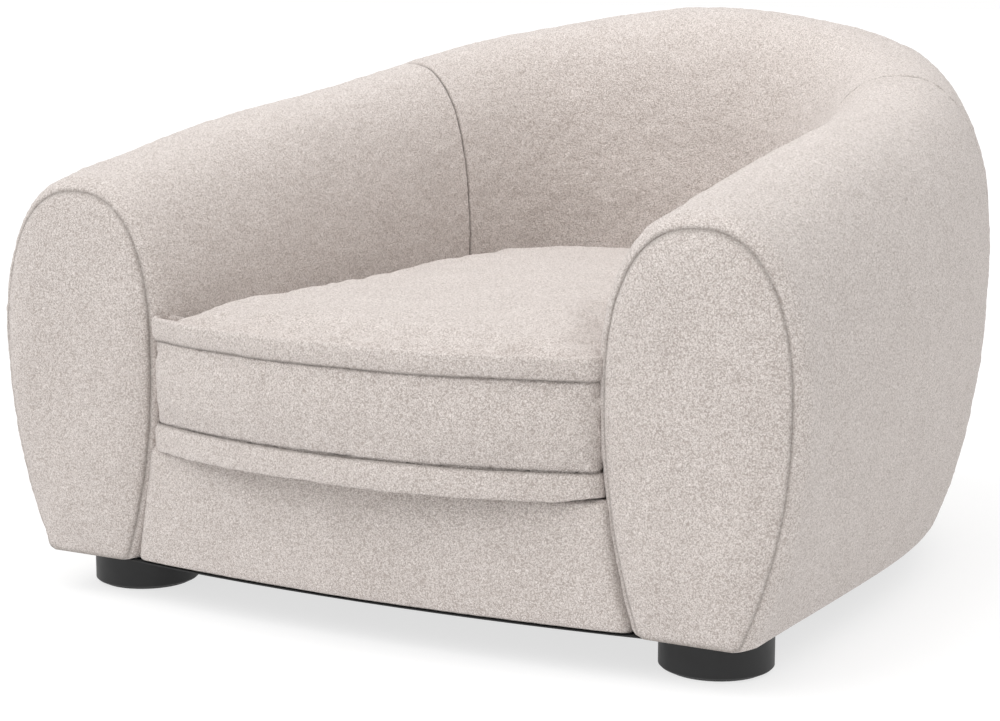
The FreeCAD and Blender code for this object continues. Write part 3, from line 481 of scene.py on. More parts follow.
@dataclass(frozen=True)
class LoopedYarn(Finish):
    """Cream looped wool upholstery fabric."""

    loops_per_metre: float = 600.0
    mottle: float = 0.035
    # Painted shade in seams and tucks: how strongly the stored mask pulls the colour towards this
    # dark colour.
    painted_crease_shade_strength: float = 0.6
    painted_crease_shade_colour: Colour = (0.2, 0.175, 0.155, 1)
    pile: float = 0.0021

    def build(self) -> bpy.types.Material:
        """Colour and height from the looped yarn group, with painted shade darkening the seams,
        and a soft sheen."""
        material, w, place, shader = self.start()
        yarn = w.add("Group", {"node_tree": bpy.data.node_groups["looped_yarn"]},
                     Vector=place, Loop=self.loops_per_metre, Lit=self.light,
                     Shade=self.dark, Mottle=self.mottle)
        # Painted shade: the stored seam mask pulls the yarn colour towards a dark colour.
        crease = w.add("Attribute", {"attribute_name": "crease"}).outputs["Fac"]
        colour = w.mix(w.maths("MULTIPLY", crease, self.painted_crease_shade_strength), yarn.outputs["Color"],
                       self.painted_crease_shade_colour)
        pile = yarn.outputs["Height"]
        shader.inputs["Sheen Weight"].default_value = 0.25
        shader.inputs["Sheen Roughness"].default_value = 0.55
        shader.inputs["Specular IOR Level"].default_value = 0.2
        self.join(w, shader, colour, (pile, 0.2, 0.9, 1.0, self.roughness), pile, 0.75,
                  self.pile)
        return material


@dataclass(frozen=True)
class Woven(Finish):
    """Plain woven cloth."""

    threads: float = 3200.0

    def build(self) -> bpy.types.Material:
        """Weave height and gap mask from the plain weave group, with slubs."""
        material, w, place, shader = self.start()
        weave = w.add("Group", {"node_tree": bpy.data.node_groups["plain_weave"]},
                      Vector=place, Threads=self.threads)
        slubs = w.add("TexNoise", Vector=place, Scale=220.0, Detail=4.0)
        tone = w.maths("MULTIPLY_ADD", slubs.outputs[0], 0.5,
                       w.maths("MULTIPLY", weave.outputs["Gaps"], 0.6))
        self.join(w, shader, w.mix(tone, self.light, self.dark),
                  (slubs.outputs[0], 0.3, 0.7, self.roughness, 1.0),
                  weave.outputs["Height"], 0.5, 0.0004)
        return material


@dataclass(frozen=True)
class Wood(Finish):
    """Bare or stained wood, with grain along X."""

    grain_scale: float = 1.0

    def build(self) -> bpy.types.Material:
        """Grain from the wood grain group in the colour, roughness and bump."""
        material, w, place, shader = self.start()
        grain = w.add("Group", {"node_tree": bpy.data.node_groups["wood_grain"]},
                      Vector=place, Scale=self.grain_scale).outputs["Grain"]
        self.join(w, shader, w.mix(w.ranged(grain, 0.3, 0.75), self.light, self.dark),
                  (grain, 0.3, 0.8, self.roughness, self.roughness + 0.15), grain, 0.25, 0.0006)
        return material


@dataclass(frozen=True)
class Lacquer(Finish):
    """Satin black lacquer over turned wood: faint pores, dust and rubbed patches."""

    def build(self) -> bpy.types.Material:
        """Noise in the colour and roughness, pores in the bump, a thin coat."""
        material, w, place, shader = self.start()
        pores = w.add("TexNoise", Vector=place, Scale=700.0, Detail=3.0)
        rubbed = w.add("TexNoise", Vector=place, Scale=24.0, Detail=6.0, Roughness=0.65)
        wear = w.ranged(rubbed.outputs[0], 0.42, 0.75)
        shader.inputs["Coat Weight"].default_value = 0.06
        shader.inputs["Coat Roughness"].default_value = 0.35
        self.join(w, shader, w.mix(wear, self.dark, self.light),
                  (rubbed.outputs[0], 0.3, 0.7, self.roughness, self.roughness + 0.16),
                  pores.outputs[0], 0.12, 0.0003)
        return material


@dataclass(frozen=True)
class Steel(Finish):
    """Drawn or plated steel with a fine brushed grain."""

    def build(self) -> bpy.types.Material:
        """Stretched noise in the colour, roughness and bump of a metal."""
        material, w, place, shader = self.start()
        stretched = w.add("Mapping", Vector=place, Scale=(40.0, 900.0, 900.0))
        brushed = w.add("TexNoise", Vector=stretched.outputs[0], Scale=1.0, Detail=4.0)
        grain = brushed.outputs[0]
        shader.inputs["Metallic"].default_value = 1.0
        self.join(w, shader, w.mix(grain, self.light, self.dark),
                  (grain, 0.3, 0.7, self.roughness, self.roughness + 0.2), grain, 0.15, 0.0002)
        return material


@dataclass(frozen=True)
class Fibrous(Finish):
    """Felt, foam, fibre wrap and hardboard: a fine even grain of pits and fibres."""

    grain: float = 900.0
    pits: float = 0.0006

    def build(self) -> bpy.types.Material:
        """Fine noise over Voronoi pits in the colour and bump."""
        material, w, place, shader = self.start()
        fibres = w.add("TexNoise", Vector=place, Scale=self.grain, Detail=4.0, Roughness=0.7)
        cells = w.add("TexVoronoi", Vector=place, Scale=self.grain * 0.6)
        height = w.maths("MULTIPLY_ADD", cells.outputs["Distance"], 0.5, fibres.outputs[0])
        self.join(w, shader, w.mix(w.ranged(height, 0.5, 1.0), self.dark, self.light),
                  (height, 0.4, 1.0, self.roughness, 1.0), height, 0.4, self.pits)
        return material


# The fabric's second colour is the painted shade in the pits between loops.
FABRIC = LoopedYarn("looped_wool_fabric", (0.93, 0.862, 0.825, 1), (0.42, 0.365, 0.335, 1), 0.86)
NODE_FINISHES: dict[Finish, tuple[str, ...]] = {
    Lacquer("satin_black_lacquer", (0.009, 0.009, 0.0095, 1), (0.005, 0.005, 0.0055, 1), 0.48): (
        "front_left_foot", "front_right_foot", "rear_left_foot", "rear_right_foot"),
    Fibrous("dark_pressed_felt", (0.13, 0.13, 0.13, 1), (0.05, 0.05, 0.05, 1), 0.9): (
        "felt_glides",),
    Steel("zinc_plated_steel", (0.66, 0.66, 0.64, 1), (0.48, 0.48, 0.47, 1), 0.32): (
        "foot_bolts", "t_nuts", "joining_plates", "plate_screws", "spring_clips"),
    Steel("oiled_spring_steel", (0.3, 0.3, 0.31, 1), (0.16, 0.16, 0.17, 1), 0.36): (
        "seat_springs", "spring_tie_wires"),
    Wood("birch_plywood", (0.68, 0.53, 0.35, 1), (0.5, 0.35, 0.2, 1), 0.6): (
        "left_arm_base_board", "right_arm_base_board", "back_base_board",
        "left_arm_front_board", "right_arm_front_board", "arm_formers", "back_formers",
        "arm_top_rails", "back_top_rail", "rear_deck_board"),
    Wood("planed_softwood", (0.72, 0.55, 0.36, 1), (0.54, 0.36, 0.2, 1), 0.62, 1.6): (
        "front_rail", "rear_seat_rail", "seat_side_rails", "corner_blocks"),
    Woven("pale_zip_tape", (0.66, 0.61, 0.57, 1), (0.42, 0.38, 0.35, 1), 0.8, 1700.0): (
        "cushion_zip",),
    Fibrous("brown_hardboard", (0.4, 0.25, 0.14, 1), (0.26, 0.15, 0.08, 1), 0.7): (
        "inner_panels", "outer_panels"),
    Woven("black_dust_cloth", (0.035, 0.035, 0.036, 1), (0.015, 0.015, 0.015, 1), 0.9): (
        "dust_cloth",),
    Woven("spring_cloth_jute", (0.5, 0.41, 0.29, 1), (0.28, 0.21, 0.13, 1), 0.9, 2100.0): (
        "spring_cloth",),
    Woven("deck_lining", (0.7, 0.655, 0.61, 1), (0.5, 0.46, 0.42, 1), 0.88): ("deck_cloth",),
    Fibrous("open_cell_foam", (0.82, 0.78, 0.64, 1), (0.6, 0.55, 0.4, 1), 0.9, 600.0, 0.001): (
        "deck_pad",),
}


# ---------------------------------------------------------------------------- horseshoe
@dataclass
class Horseshoe:
    """Formula of the arms and back: a plan line and the section carried along it.

    The plan's middle line is straight beside the seat and then a superellipse round the
    back. A run is the distance along it from the left arm's front; across goes from -1
    at the inner hem over 0 at the crown to 1 at the outer hem.
    """

    width: float
    front: float
    back: float
    hem: float
    roll: float = 0.240
    arm_straight: float = 0.287
    plan_power: float = 2.9
    heights: tuple[float, ...] = (0.506, 0.557, 0.595, 0.656, 0.695)
    outer_tucks: tuple[float, ...] = (0.056, 0.050, 0.103)
    inner_tucks: tuple[float, ...] = (0.044, 0.0, -0.030)
    widest_arm: float = 0.565
    widest_back: float = 0.65
    crown_power: float = 2.35
    tuck_power: float = 2.15
    nose_radius: float = 0.032
    hem_roll: float = 0.007
    runs: np.ndarray = field(init=False)
    line: np.ndarray = field(init=False)

    def __post_init__(self) -> None:
        """Work out the left half of the middle line as closely spaced points."""
        turn = self.front + self.arm_straight
        depth = self.back - self.roll / 2 - turn
        angle = np.linspace(0, math.pi / 2, 900)
        power = 2 / self.plan_power
        x = self.reach * np.clip(np.cos(angle), 0, 1) ** power
        y = turn + depth * np.sin(angle) ** power
        self.line = np.stack([np.append(self.reach, x), np.append(self.front, y)], axis=-1)
        steps = np.linalg.norm(np.diff(self.line, axis=0), axis=1)
        self.runs = np.append(0, np.cumsum(steps))

    @property
    def reach(self) -> float:
        """Half the distance between the arms' middle lines."""
        return (self.width - self.roll) / 2

    @property
    def half_run(self) -> float:
        """Run from the left arm's front to the middle of the back."""
        return float(self.runs[-1])

    def on_line(self, run: np.ndarray) -> np.ndarray:
        """Points of the middle line, mirrored past the middle of the back."""
        folded = np.where(run > self.half_run, 2 * self.half_run - run, run)
        x = np.interp(folded, self.runs, self.line[:, 0])
        y = np.interp(folded, self.runs, self.line[:, 1])
        return np.stack([np.where(run > self.half_run, -x, x), y], axis=-1)

    def outward(self, run: np.ndarray) -> np.ndarray:
        """Unit vectors in plan, away from the seat: the line's direction turned right."""
        step = 0.006
        last = 2 * self.half_run
        along = (self.on_line(np.clip(run + step, 0, last))
                 - self.on_line(np.clip(run - step, 0, last)))
        along /= np.linalg.norm(along, axis=-1, keepdims=True)
        return np.stack([along[..., 1], -along[..., 0]], axis=-1)

    def blended(self, values: tuple[float, ...], run: np.ndarray) -> np.ndarray:
        """Hermite curve through values spaced evenly from the arm's front to the back."""
        values = np.array(values)
        slopes = np.gradient(values)
        slopes[0], slopes[-1] = values[1] - values[0], 0.0
        share = np.minimum(run, 2 * self.half_run - run) / self.half_run
        place = np.clip(share, 0, 1) * (len(values) - 1)
        i = np.minimum(place.astype(int), len(values) - 2)
        f = place - i
        return (values[i] * (2 * f**3 - 3 * f**2 + 1) + slopes[i] * (f**3 - 2 * f**2 + f)
                + values[i + 1] * (3 * f**2 - 2 * f**3) + slopes[i + 1] * (f**3 - f**2))

    def section(self, run: np.ndarray, across: np.ndarray) -> tuple[np.ndarray, np.ndarray]:
        """Section at each run: offset from the middle line and height.

        With level = sin(90 deg (1 - |across|)): below the widest level the side draws in
        by tuck ((widest - level) / widest)^tuck_power, and above it the offset is
        half (1 - t^p)^(1/p) with t from 0 at the widest level to 1 at the crown.

        Args:
            run: Runs, (n,).
            across: Values from -1 to 1, (m,).

        Returns:
            Offsets and heights, both (n, m).
        """
        level = np.sin(math.pi / 2 * (1 - np.abs(across)))[None, :]
        outside = (across > 0)[None, :]
        backness = np.maximum(self.outward(run)[:, 1], 0) ** 2
        outer_widest = self.widest_arm + (self.widest_back - self.widest_arm) * backness
        widest = np.where(outside, outer_widest[:, None], self.widest_arm)
        tuck = np.where(outside, self.blended(self.outer_tucks, run)[:, None],
                        self.blended(self.inner_tucks, run)[:, None])
        half = self.roll / 2
        below = half - tuck * np.clip((widest - level) / widest, 0, 1) ** self.tuck_power
        rise = np.clip((level - widest) / (1 - widest), 0, 1)
        above = half * (1 - rise**self.crown_power) ** (1 / self.crown_power)
        offset = np.where(level < widest, below, above)
        top = self.blended(self.heights, run)[:, None]
        return np.copysign(offset, across[None, :]), self.hem + (top - self.hem) * level

    def surface(self, run: np.ndarray, across: np.ndarray) -> np.ndarray:
        """Points of the cover, (n, m, 3), drawn in along the section's normal by a quarter
        circle where the nose is rounded, and sideways at the hem."""
        offset, height = self.section(run, across)
        radius = self.nose_radius
        behind = self.on_line(run)[:, 1] - self.front
        ahead = np.clip(radius - behind, 0, radius)
        drawn = (radius - np.sqrt(radius**2 - ahead**2))[:, None]
        near_hem = np.clip(self.hem + self.hem_roll - height, 0, self.hem_roll)
        tucked = self.hem_roll - np.sqrt(self.hem_roll**2 - near_hem**2)
        along = np.stack([np.gradient(offset, axis=1), np.gradient(height, axis=1)])
        along /= np.linalg.norm(along, axis=0)
        offset = offset - drawn * -along[1] - tucked * np.sign(across)[None, :]
        height = height - drawn * np.maximum(along[0], 0)
        plan = self.on_line(run)[:, None, :] + self.outward(run)[:, None, :] * offset[..., None]
        return np.concatenate([plan, height[..., None]], axis=-1)

    def even_across(self, run: float, cell: float) -> np.ndarray:
        """Values of across a cell apart along the section at a run."""
        across = np.linspace(-1, 1, 1201)
        offset, height = self.section(np.array([run]), across)
        lengths = np.hypot(np.diff(offset[0]), np.diff(height[0]))
        lengths = np.append(0, np.cumsum(lengths))
        return np.interp(np.linspace(0, lengths[-1], int(lengths[-1] / cell)), lengths, across)

    def inner_offset(self, run: np.ndarray, height: float) -> np.ndarray:
        """Offset of the inner face at a height, at each run."""
        offset, level = self.section(run, np.linspace(-1, 0, 400))
        return np.array([np.interp(height, z, o) for z, o in zip(level, offset)])


@dataclass
class Upholstery:
    """What every padded fabric piece shares: the horseshoe, the fabric, its relief."""

    horseshoe: Horseshoe
    fabric: bpy.types.Material
    relief: Relief = Relief()
    seam: Seam = Seam()
    cell: float = 0.0032

    def dress(self, piece: bpy.types.Object, body: str, fill: float,
              *nodes: str) -> bpy.types.Object:
        """Give a padded piece its fabric and body, and hide the nodes it stands for."""
        piece.data.materials.append(self.fabric)
        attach(piece, body)
        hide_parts(*nodes)
        log.info("%s: %d vertices", piece.name, len(piece.data.vertices))
        return piece


@dataclass
class RollCover(Upholstery):
    """Padded cover of one sector, from a seam to the next."""

    sector: Sector = Sector.BACK
    front_seam: float = 0.006
    back_seam: float = 0.722
    half_gap: float = 0.0003

    def ends(self) -> tuple[float, float]:
        """Runs at which the sector starts and ends."""
        last = 2 * self.horseshoe.half_run
        gap = self.half_gap
        return {
            Sector.LEFT_ARM: (self.front_seam, self.back_seam - gap),
            Sector.BACK: (self.back_seam + gap, last - self.back_seam - gap),
            Sector.RIGHT_ARM: (last - self.back_seam + gap, last - self.front_seam),
        }[self.sector]

    def build(self) -> bpy.types.Object:
        """Rings of the section along the sector, sunk at the seams, closed underneath."""
        start, end = self.ends()
        along = seam_spaced(end - start, self.cell)
        across = self.horseshoe.even_across((start + end) / 2, self.cell)
        shown = self.horseshoe.surface(start + along, across)
        share = np.linspace(0, 1, 16)[1:-1][None, :, None]
        under = shown[:, -1:, :] * (1 - share) + shown[:, :1, :] * share
        rings = np.concatenate([shown, under], axis=1)
        normals = ring_normals(rings, looped=False)
        seam_distance = np.minimum(along, along[-1] - along)[:, None]
        lift = self.relief.at(rings) - self.seam.sink(seam_distance, rings)
        lift *= smooth_step(rings[..., 2], self.horseshoe.hem, self.horseshoe.hem + 0.02)
        rings = rings + normals * lift[..., None]
        middle = rings.mean(axis=1, keepdims=True)
        caps = [middle[i] + (rings[i] - middle[i]) * 0.9 for i in (0, -1)]
        rings = np.concatenate([caps[0][None], rings, caps[1][None]])
        # Painted shade along both seams of the sector, carried onto the end caps.
        crease = np.pad(self.seam.crease(seam_distance), ((1, 1), (0, 0)), mode="edge")
        name = self.sector.value
        nodes = [f"{name}_{part}" for part in ("cover", "inner_foam", "crown_foam",
                                               "outer_foam")]
        piece = ring_object(f"{name}_upholstery", rings, crease=crease)
        return self.dress(piece, FRAME_BODY, 0.9, *nodes)


@dataclass
class ArmFront(Upholstery):
    """Domed panel sewn into the front of an arm."""

    side: Side = Side.LEFT
    front_seam: float = 0.006
    dome: float = 0.014
    dome_power: float = 5.2
    rings: int = 62
    rim_cell: float = 0.0036
    rear_depth: float = 0.012
    rear_scale: float = 0.93

    def build(self) -> bpy.types.Object:
        """Rings from the seam to the middle: forward by dome (1 - (1 - t)^power)."""
        shoe = self.horseshoe
        run = self.front_seam if self.side is Side.LEFT else 2 * shoe.half_run - self.front_seam
        across = shoe.even_across(run, self.rim_cell)
        shown = shoe.surface(np.array([run]), across)[0]
        share = np.linspace(0, 1, 40)[1:-1][:, None]
        rim = np.concatenate([shown, shown[-1] * (1 - share) + shown[0] * share])
        middle = (rim.min(axis=0) + rim.max(axis=0)) / 2
        half_width = (rim[:, 0].max() - rim[:, 0].min()) / 2
        t = np.append(seam_spaced(half_width, half_width / self.rings, last=False)[:-1]
                      / half_width, 0.995)[:, None, None]
        rings = middle + (rim - middle)[None] * (1 - t)
        rings[..., 1] -= self.dome * (1 - (1 - t[..., 0]) ** self.dome_power)
        lift = self.relief.at(rings) - self.seam.sink(t[..., 0] * half_width, rings)
        rings[..., 1] -= lift * smooth_step(rings[..., 2], shoe.hem - 0.001, shoe.hem + 0.02)
        rear = middle + (rim - middle)[None] * self.rear_scale
        rear[..., 1] += self.rear_depth
        rings = np.concatenate([rear, rings])
        # Painted shade round the panel's seam, and full painted shade on the hidden rear ring.
        crease = np.append(1, self.seam.crease(t[:, 0, 0] * half_width))[:, None]
        name = f"{self.side.name.lower()}_arm_front"
        piece = ring_object(f"{name}_panel", rings, crease=crease)
        return self.dress(piece, FRAME_BODY, 0.85, f"{name}_cover", f"{name}_foam")


@dataclass
class FrontRail(Upholstery):
    """Padded, bowed rail cover under the cushion, between the arms."""

    setback: float = 0.019
    bow: float = 0.033
    thickness: float = 0.013
    swell: float = 0.003
    top: float = 0.196
    tuck_in: float = 0.022
    end_roll: float = 0.016
    hidden_end: float = 0.01
    edge_share: float = 0.12

    def face_y(self, x: np.ndarray) -> np.ndarray:
        """Front of the rail: an arc through the bow, over the span of the arms."""
        half = self.horseshoe.reach
        radius = (half**2 + self.bow**2) / (2 * self.bow)
        return self.horseshoe.front + self.setback - self.bow + radius - np.sqrt(radius**2 - x**2)

    def build(self) -> bpy.types.Object:
        """Rings across the width: a front face with rounded edges, then a flat rear."""
        shoe = self.horseshoe
        count = int((self.top - shoe.hem) / self.cell)
        height = np.linspace(shoe.hem, self.top, count)
        run = np.array([shoe.arm_straight / 2])
        half = np.array([shoe.reach + shoe.inner_offset(run, z)[0] for z in height])
        half += self.tuck_in
        share = np.linspace(-1, 1, int(2 * half.max() / self.cell))
        x = share[:, None] * half[None, :]
        place = np.abs(2 * (height - shoe.hem) / (self.top - shoe.hem) - 1)
        near = np.clip((place - 1 + self.edge_share) / self.edge_share, 0, 1)
        edge = 1 - np.sqrt(1 - near**2)
        forward = self.swell * (1 - place**4) - self.thickness * 0.6 * edge
        front = np.stack([x, self.face_y(x) - forward[None], np.broadcast_to(height, x.shape)],
                         axis=-1)
        inside = np.clip((half[None, :] - self.hidden_end - np.abs(x)) / self.end_roll, 0, 1)
        rolled = self.end_roll * 0.8 * (1 - np.sqrt(1 - (1 - inside) ** 2))
        front[..., 1] += rolled - self.relief.at(front) * (1 - edge)[None]
        rear = front[:, ::-6].copy()
        rear[..., 1] = self.face_y(rear[..., 0]) + self.thickness
        # Painted shade where the rail's ends roll in against the arms, at most 0.7 of full.
        crease = np.concatenate([1 - smooth_step(inside, 0.0, 0.5),
                                 np.zeros(rear.shape[:2])], axis=1) * 0.7
        piece = ring_object("front_rail_upholstery", np.concatenate([front, rear], axis=1),
                            crease=crease)
        return self.dress(piece, FRAME_BODY, 0.8, "front_rail_cover",
                          "front_rail_foam")


# ------------------------------------------------------------------------------ cushion
@dataclass
class Cushion(Upholstery):
    """Loose boxed seat cushion: crowned panels, a bulging boxing between two seams, and
    a flat flange standing at each seam."""

    low: float = 0.187
    low_seam: float = 0.224
    high_seam: float = 0.326
    crown: float = 0.043
    overhang: float = 0.052
    bow: float = 0.050
    clearance: float = 0.003
    corner: float = 0.022
    flare: float = 0.018
    flare_reach: float = 0.06
    top_flange: float = 0.025
    bottom_flange: float = 0.032
    flange_thickness: float = 0.007
    voxel: float = 0.0055
    swell_cap: float = 0.010
    pressure: float = 4.0
    frames: int = 20
    rim_band: float = 0.012
    outline: np.ndarray = field(init=False)

    def __post_init__(self) -> None:
        """Work out the plan outline once."""
        self.outline = self.plan_outline()

    def plan_outline(self) -> np.ndarray:
        """Closed plan outline, 4 mm apart: the horseshoe's inner face at its narrowest
        within the cushion's height, flared round the arm fronts, rounded corners and a
        front edge bowed like a circle's arc."""
        shoe = self.horseshoe
        run = np.linspace(0, 2 * shoe.half_run, 1200)
        levels = np.linspace(self.low, self.high_seam + self.crown, 5)
        offset = np.min([shoe.inner_offset(run, z) for z in levels], axis=0) - self.clearance
        plan = shoe.on_line(run) + shoe.outward(run) * offset[:, None]
        corner_y = shoe.front - self.overhang + self.bow
        flare = 1 - smooth_step(plan[:, 1], corner_y, corner_y + self.flare_reach)
        plan[:, 0] += np.sign(plan[:, 0]) * self.flare * flare
        keep = plan[:, 1] > corner_y + self.corner
        side = plan[keep]
        half = abs(side[0, 0])
        turn = np.linspace(0, math.pi / 2, 14)[1:]
        centre = half - self.corner
        right = np.stack([-centre - self.corner * np.cos(turn),
                          side[-1, 1] - self.corner * np.sin(turn)], axis=-1)
        left = right[::-1] * np.array([-1, 1])
        radius = (centre**2 + self.bow**2) / (2 * self.bow)
        x = np.linspace(-centre, centre, 200)[1:-1]
        front_y = right[-1, 1] - (np.sqrt(radius**2 - x**2) - (radius - self.bow))
        closed = np.concatenate([side, right, np.stack([x, front_y], axis=-1), left])
        return self.resampled(closed, 0.004)

    @staticmethod
    def resampled(closed: np.ndarray, cell: float) -> np.ndarray:
        """Closed plan curve with its points spaced evenly, and its corners eased."""
        loop = np.concatenate([closed, closed[:1]])
        lengths = np.append(0, np.cumsum(np.linalg.norm(np.diff(loop, axis=0), axis=1)))
        at = np.linspace(0, lengths[-1], int(lengths[-1] / cell), endpoint=False)
        even = np.stack([np.interp(at, lengths, loop[:, i]) for i in (0, 1)], axis=-1)
        for _ in range(4):
            even = (even * 2 + np.roll(even, 1, axis=0) + np.roll(even, -1, axis=0)) / 4
        return even

    @property
    def outward(self) -> np.ndarray:
        """Unit vectors in plan that point out of the outline."""
        along = np.roll(self.outline, -1, axis=0) - np.roll(self.outline, 1, axis=0)
        along /= np.linalg.norm(along, axis=1, keepdims=True)
        normal = np.stack([along[:, 1], -along[:, 0]], axis=-1)
        middle = self.outline.mean(axis=0)
        return normal if ((self.outline - middle) * normal).sum() > 0 else -normal

    @property
    def frontness(self) -> np.ndarray:
        """1 along the front edge and 0 where the cushion lies between the arms."""
        edge = self.horseshoe.front
        return 1 - smooth_step(self.outline[:, 1], edge - 0.002, edge + 0.05)

    def level_ring(self, scale: float, inset: float, height: float) -> np.ndarray:
        """Outline drawn in by an inset and scaled about the middle, at a height."""
        middle = (self.outline.min(axis=0) + self.outline.max(axis=0)) / 2
        plan = middle + (self.outline - self.outward * inset - middle) * scale
        return np.concatenate([plan, np.full((len(plan), 1), height)], axis=1)

    def body_rings(self) -> np.ndarray:
        """Rings from the crown down the boxing to the underside. The crown rises by
        (1 - u^3.2)^(1/2.06) of its height at a share u of the plan."""
        shares = 1 - np.linspace(0, 0.985, 46) ** 1.6
        rise = (1 - shares**3.2) ** (1 / 2.06)
        inset = 0.002
        top = [self.level_ring(u, inset, self.high_seam + self.crown * r)
               for u, r in zip(shares[::-1], rise[::-1])]
        steps = np.linspace(0, 1, 22)[1:-1]
        wall = [self.level_ring(1, inset - 0.0015 * math.sin(math.pi * s),
                                self.high_seam + (self.low_seam - self.high_seam) * s)
                for s in steps]
        drop = self.low_seam - self.low
        under = [self.level_ring(u, inset, self.low_seam - drop * r)
                 for u, r in zip(shares, rise)]
        return np.stack([*top, *wall, *under])

    def inflate(self, piece: bpy.types.Object) -> None:
        """Swell the cushion under pressure with its two seams held, then subdivide."""
        bpy.context.view_layer.objects.active = piece
        remesh = piece.modifiers.new("even_mesh", "REMESH")
        remesh.mode = "VOXEL"
        remesh.voxel_size = self.voxel
        self.apply(piece)
        start = self.points(piece)
        nearest = np.minimum(np.abs(start[:, 2] - self.high_seam),
                             np.abs(start[:, 2] - self.low_seam))
        middle = (self.outline.min(axis=0) + self.outline.max(axis=0)) / 2
        angle = np.arctan2(*(start[:, :2] - middle).T[::-1])
        rim_angle = np.arctan2(*(self.outline - middle).T[::-1])
        rim = np.linalg.norm(self.outline - middle, axis=1)
        order = np.argsort(rim_angle)
        reach = np.interp(angle, rim_angle[order], rim[order], period=TAU)
        at_rim = np.linalg.norm(start[:, :2] - middle, axis=1) > reach - self.rim_band
        held = np.flatnonzero((nearest < self.voxel * 0.75) & at_rim)
        group = piece.vertex_groups.new(name="seams")
        group.add(held.tolist(), 1.0, "REPLACE")
        cloth = piece.modifiers.new("swelling", "CLOTH")
        settings = cloth.settings
        settings.vertex_group_mass = group.name
        settings.use_pressure = True
        settings.uniform_pressure_force = self.pressure
        settings.tension_stiffness = settings.compression_stiffness = 20
        settings.bending_stiffness = 0.6
        settings.shrink_min = -0.02
        settings.effector_weights.gravity = 0
        cloth.point_cache.frame_start, cloth.point_cache.frame_end = 1, self.frames
        for frame in range(1, self.frames + 1):
            bpy.context.scene.frame_set(frame)
        evaluated = piece.evaluated_get(bpy.context.evaluated_depsgraph_get())
        swollen = self.points(evaluated)
        piece.modifiers.remove(cloth)
        bpy.context.scene.frame_set(1)
        moved = swollen - start
        far = np.linalg.norm(moved, axis=1, keepdims=True)
        moved *= np.minimum(1, self.swell_cap / np.maximum(far, 1e-9))
        log.info("cushion swelled by up to %.1f mm", far.max() * 1000)
        self.place(piece, start + moved)
        smooth = piece.modifiers.new("subdivision", "SUBSURF")
        smooth.levels = smooth.render_levels = 1
        self.apply(piece)

    @staticmethod
    def apply(piece: bpy.types.Object) -> None:
        """Turn the piece with its modifiers into a plain mesh."""
        evaluated = piece.evaluated_get(bpy.context.evaluated_depsgraph_get())
        mesh = bpy.data.meshes.new_from_object(evaluated)
        piece.modifiers.clear()
        old, piece.data = piece.data, mesh
        bpy.data.meshes.remove(old)
        mesh.name = piece.name

    @staticmethod
    def points(piece: bpy.types.Object) -> np.ndarray:
        """Vertices of a piece, (n, 3)."""
        flat = np.empty(len(piece.data.vertices) * 3, np.float32)
        piece.data.vertices.foreach_get("co", flat)
        return flat.reshape(-1, 3).astype(float)

    @staticmethod
    def place(piece: bpy.types.Object, points: np.ndarray) -> None:
        """Move the vertices of a piece."""
        piece.data.vertices.foreach_set("co", points.astype(np.float32).ravel())
        piece.data.update()

    def build_body(self) -> bpy.types.Object:
        """The stuffed cushion: swollen, then roughened by the fabric's relief."""
        piece = ring_object("cushion_upholstery", self.body_rings())
        self.inflate(piece)
        piece.data.polygons.foreach_set("use_smooth", [True] * len(piece.data.polygons))
        points = self.points(piece)
        normals = np.empty(len(points) * 3, np.float32)
        piece.data.vertices.foreach_get("normal", normals)
        lift = self.relief.at(points) * smooth_step(points[:, 2], self.low, self.low + 0.03)
        boxing = (points[:, 2] > self.low_seam) & (points[:, 2] < self.high_seam)
        to_seam = np.minimum(np.abs(points[:, 2] - self.high_seam),
                             np.abs(points[:, 2] - self.low_seam))
        lift -= np.where(boxing, self.seam.sink(to_seam, points), 0)
        points += normals.reshape(-1, 3) * lift[:, None]
        points[:, 2] = np.maximum(points[:, 2], self.low - 0.0004)
        self.place(piece, points)
        # Painted shade along both boxing seams.
        store_painted_crease_shade(piece, np.where(boxing, self.seam.crease(to_seam), 0))
        return self.dress(piece, CUSHION_BODY, 0.75, "cushion_core",
                          "cushion_boxing", "cushion_top_panel", "cushion_bottom_panel",
                          "cushion_top_wrap", "cushion_bottom_wrap")

    def flange(self, name: str, root: float, tip: np.ndarray, root_out: np.ndarray,
               tip_out: np.ndarray) -> bpy.types.Object:
        """Flat band of doubled fabric along a seam, closed round the cushion.

        Its section is a superellipse between root and tip: half length times
        sgn(cos)|cos|^0.5 along it and half thickness times sgn(sin)|sin|^0.8 across it.

        Args:
            name: Which seam, "top" or "bottom".
            root: Height of the sewn edge.
            tip: Height of the free edge at each point of the outline.
            root_out: Distance outside the outline at the sewn edge, at each point.
            tip_out: The same at the free edge.

        Returns:
            The dressed piece.
        """
        plan, outward = self.outline, self.outward
        wave = lattice_noise(np.concatenate([plan, np.full((len(plan), 1), root)], axis=1),
                             0.045, 23)
        turn = np.linspace(0, TAU, 28, endpoint=False)
        along = np.copysign(np.abs(np.cos(turn)) ** 0.5, np.cos(turn))[None] / 2 + 0.5
        across = np.copysign(np.abs(np.sin(turn)) ** 0.8, np.sin(turn))[None]
        pinched = 0.35 + 0.65 * smooth_step(along, 0.0, 0.3)
        out = root_out[:, None] + (tip_out - root_out + wave * 0.0012)[:, None] * along
        out = out + across * pinched * self.flange_thickness / 2
        height = root + (tip - root + wave * 0.0015)[:, None] * along
        spot = plan[:, None, :] + outward[:, None, :] * out[..., None]
        rings = np.concatenate([spot, height[..., None]], axis=-1)
        rings += ring_normals(rings, looped=True) * (self.relief.at(rings) * 0.6)[..., None]
        # Painted shade at the flange's sewn root.
        crease = 1 - smooth_step(along, 0.0, 0.12)
        piece = ring_object(f"cushion_{name}_flange_band", rings, looped=True, crease=crease)
        return self.dress(piece, CUSHION_BODY, 0.5, f"cushion_{name}_flange")

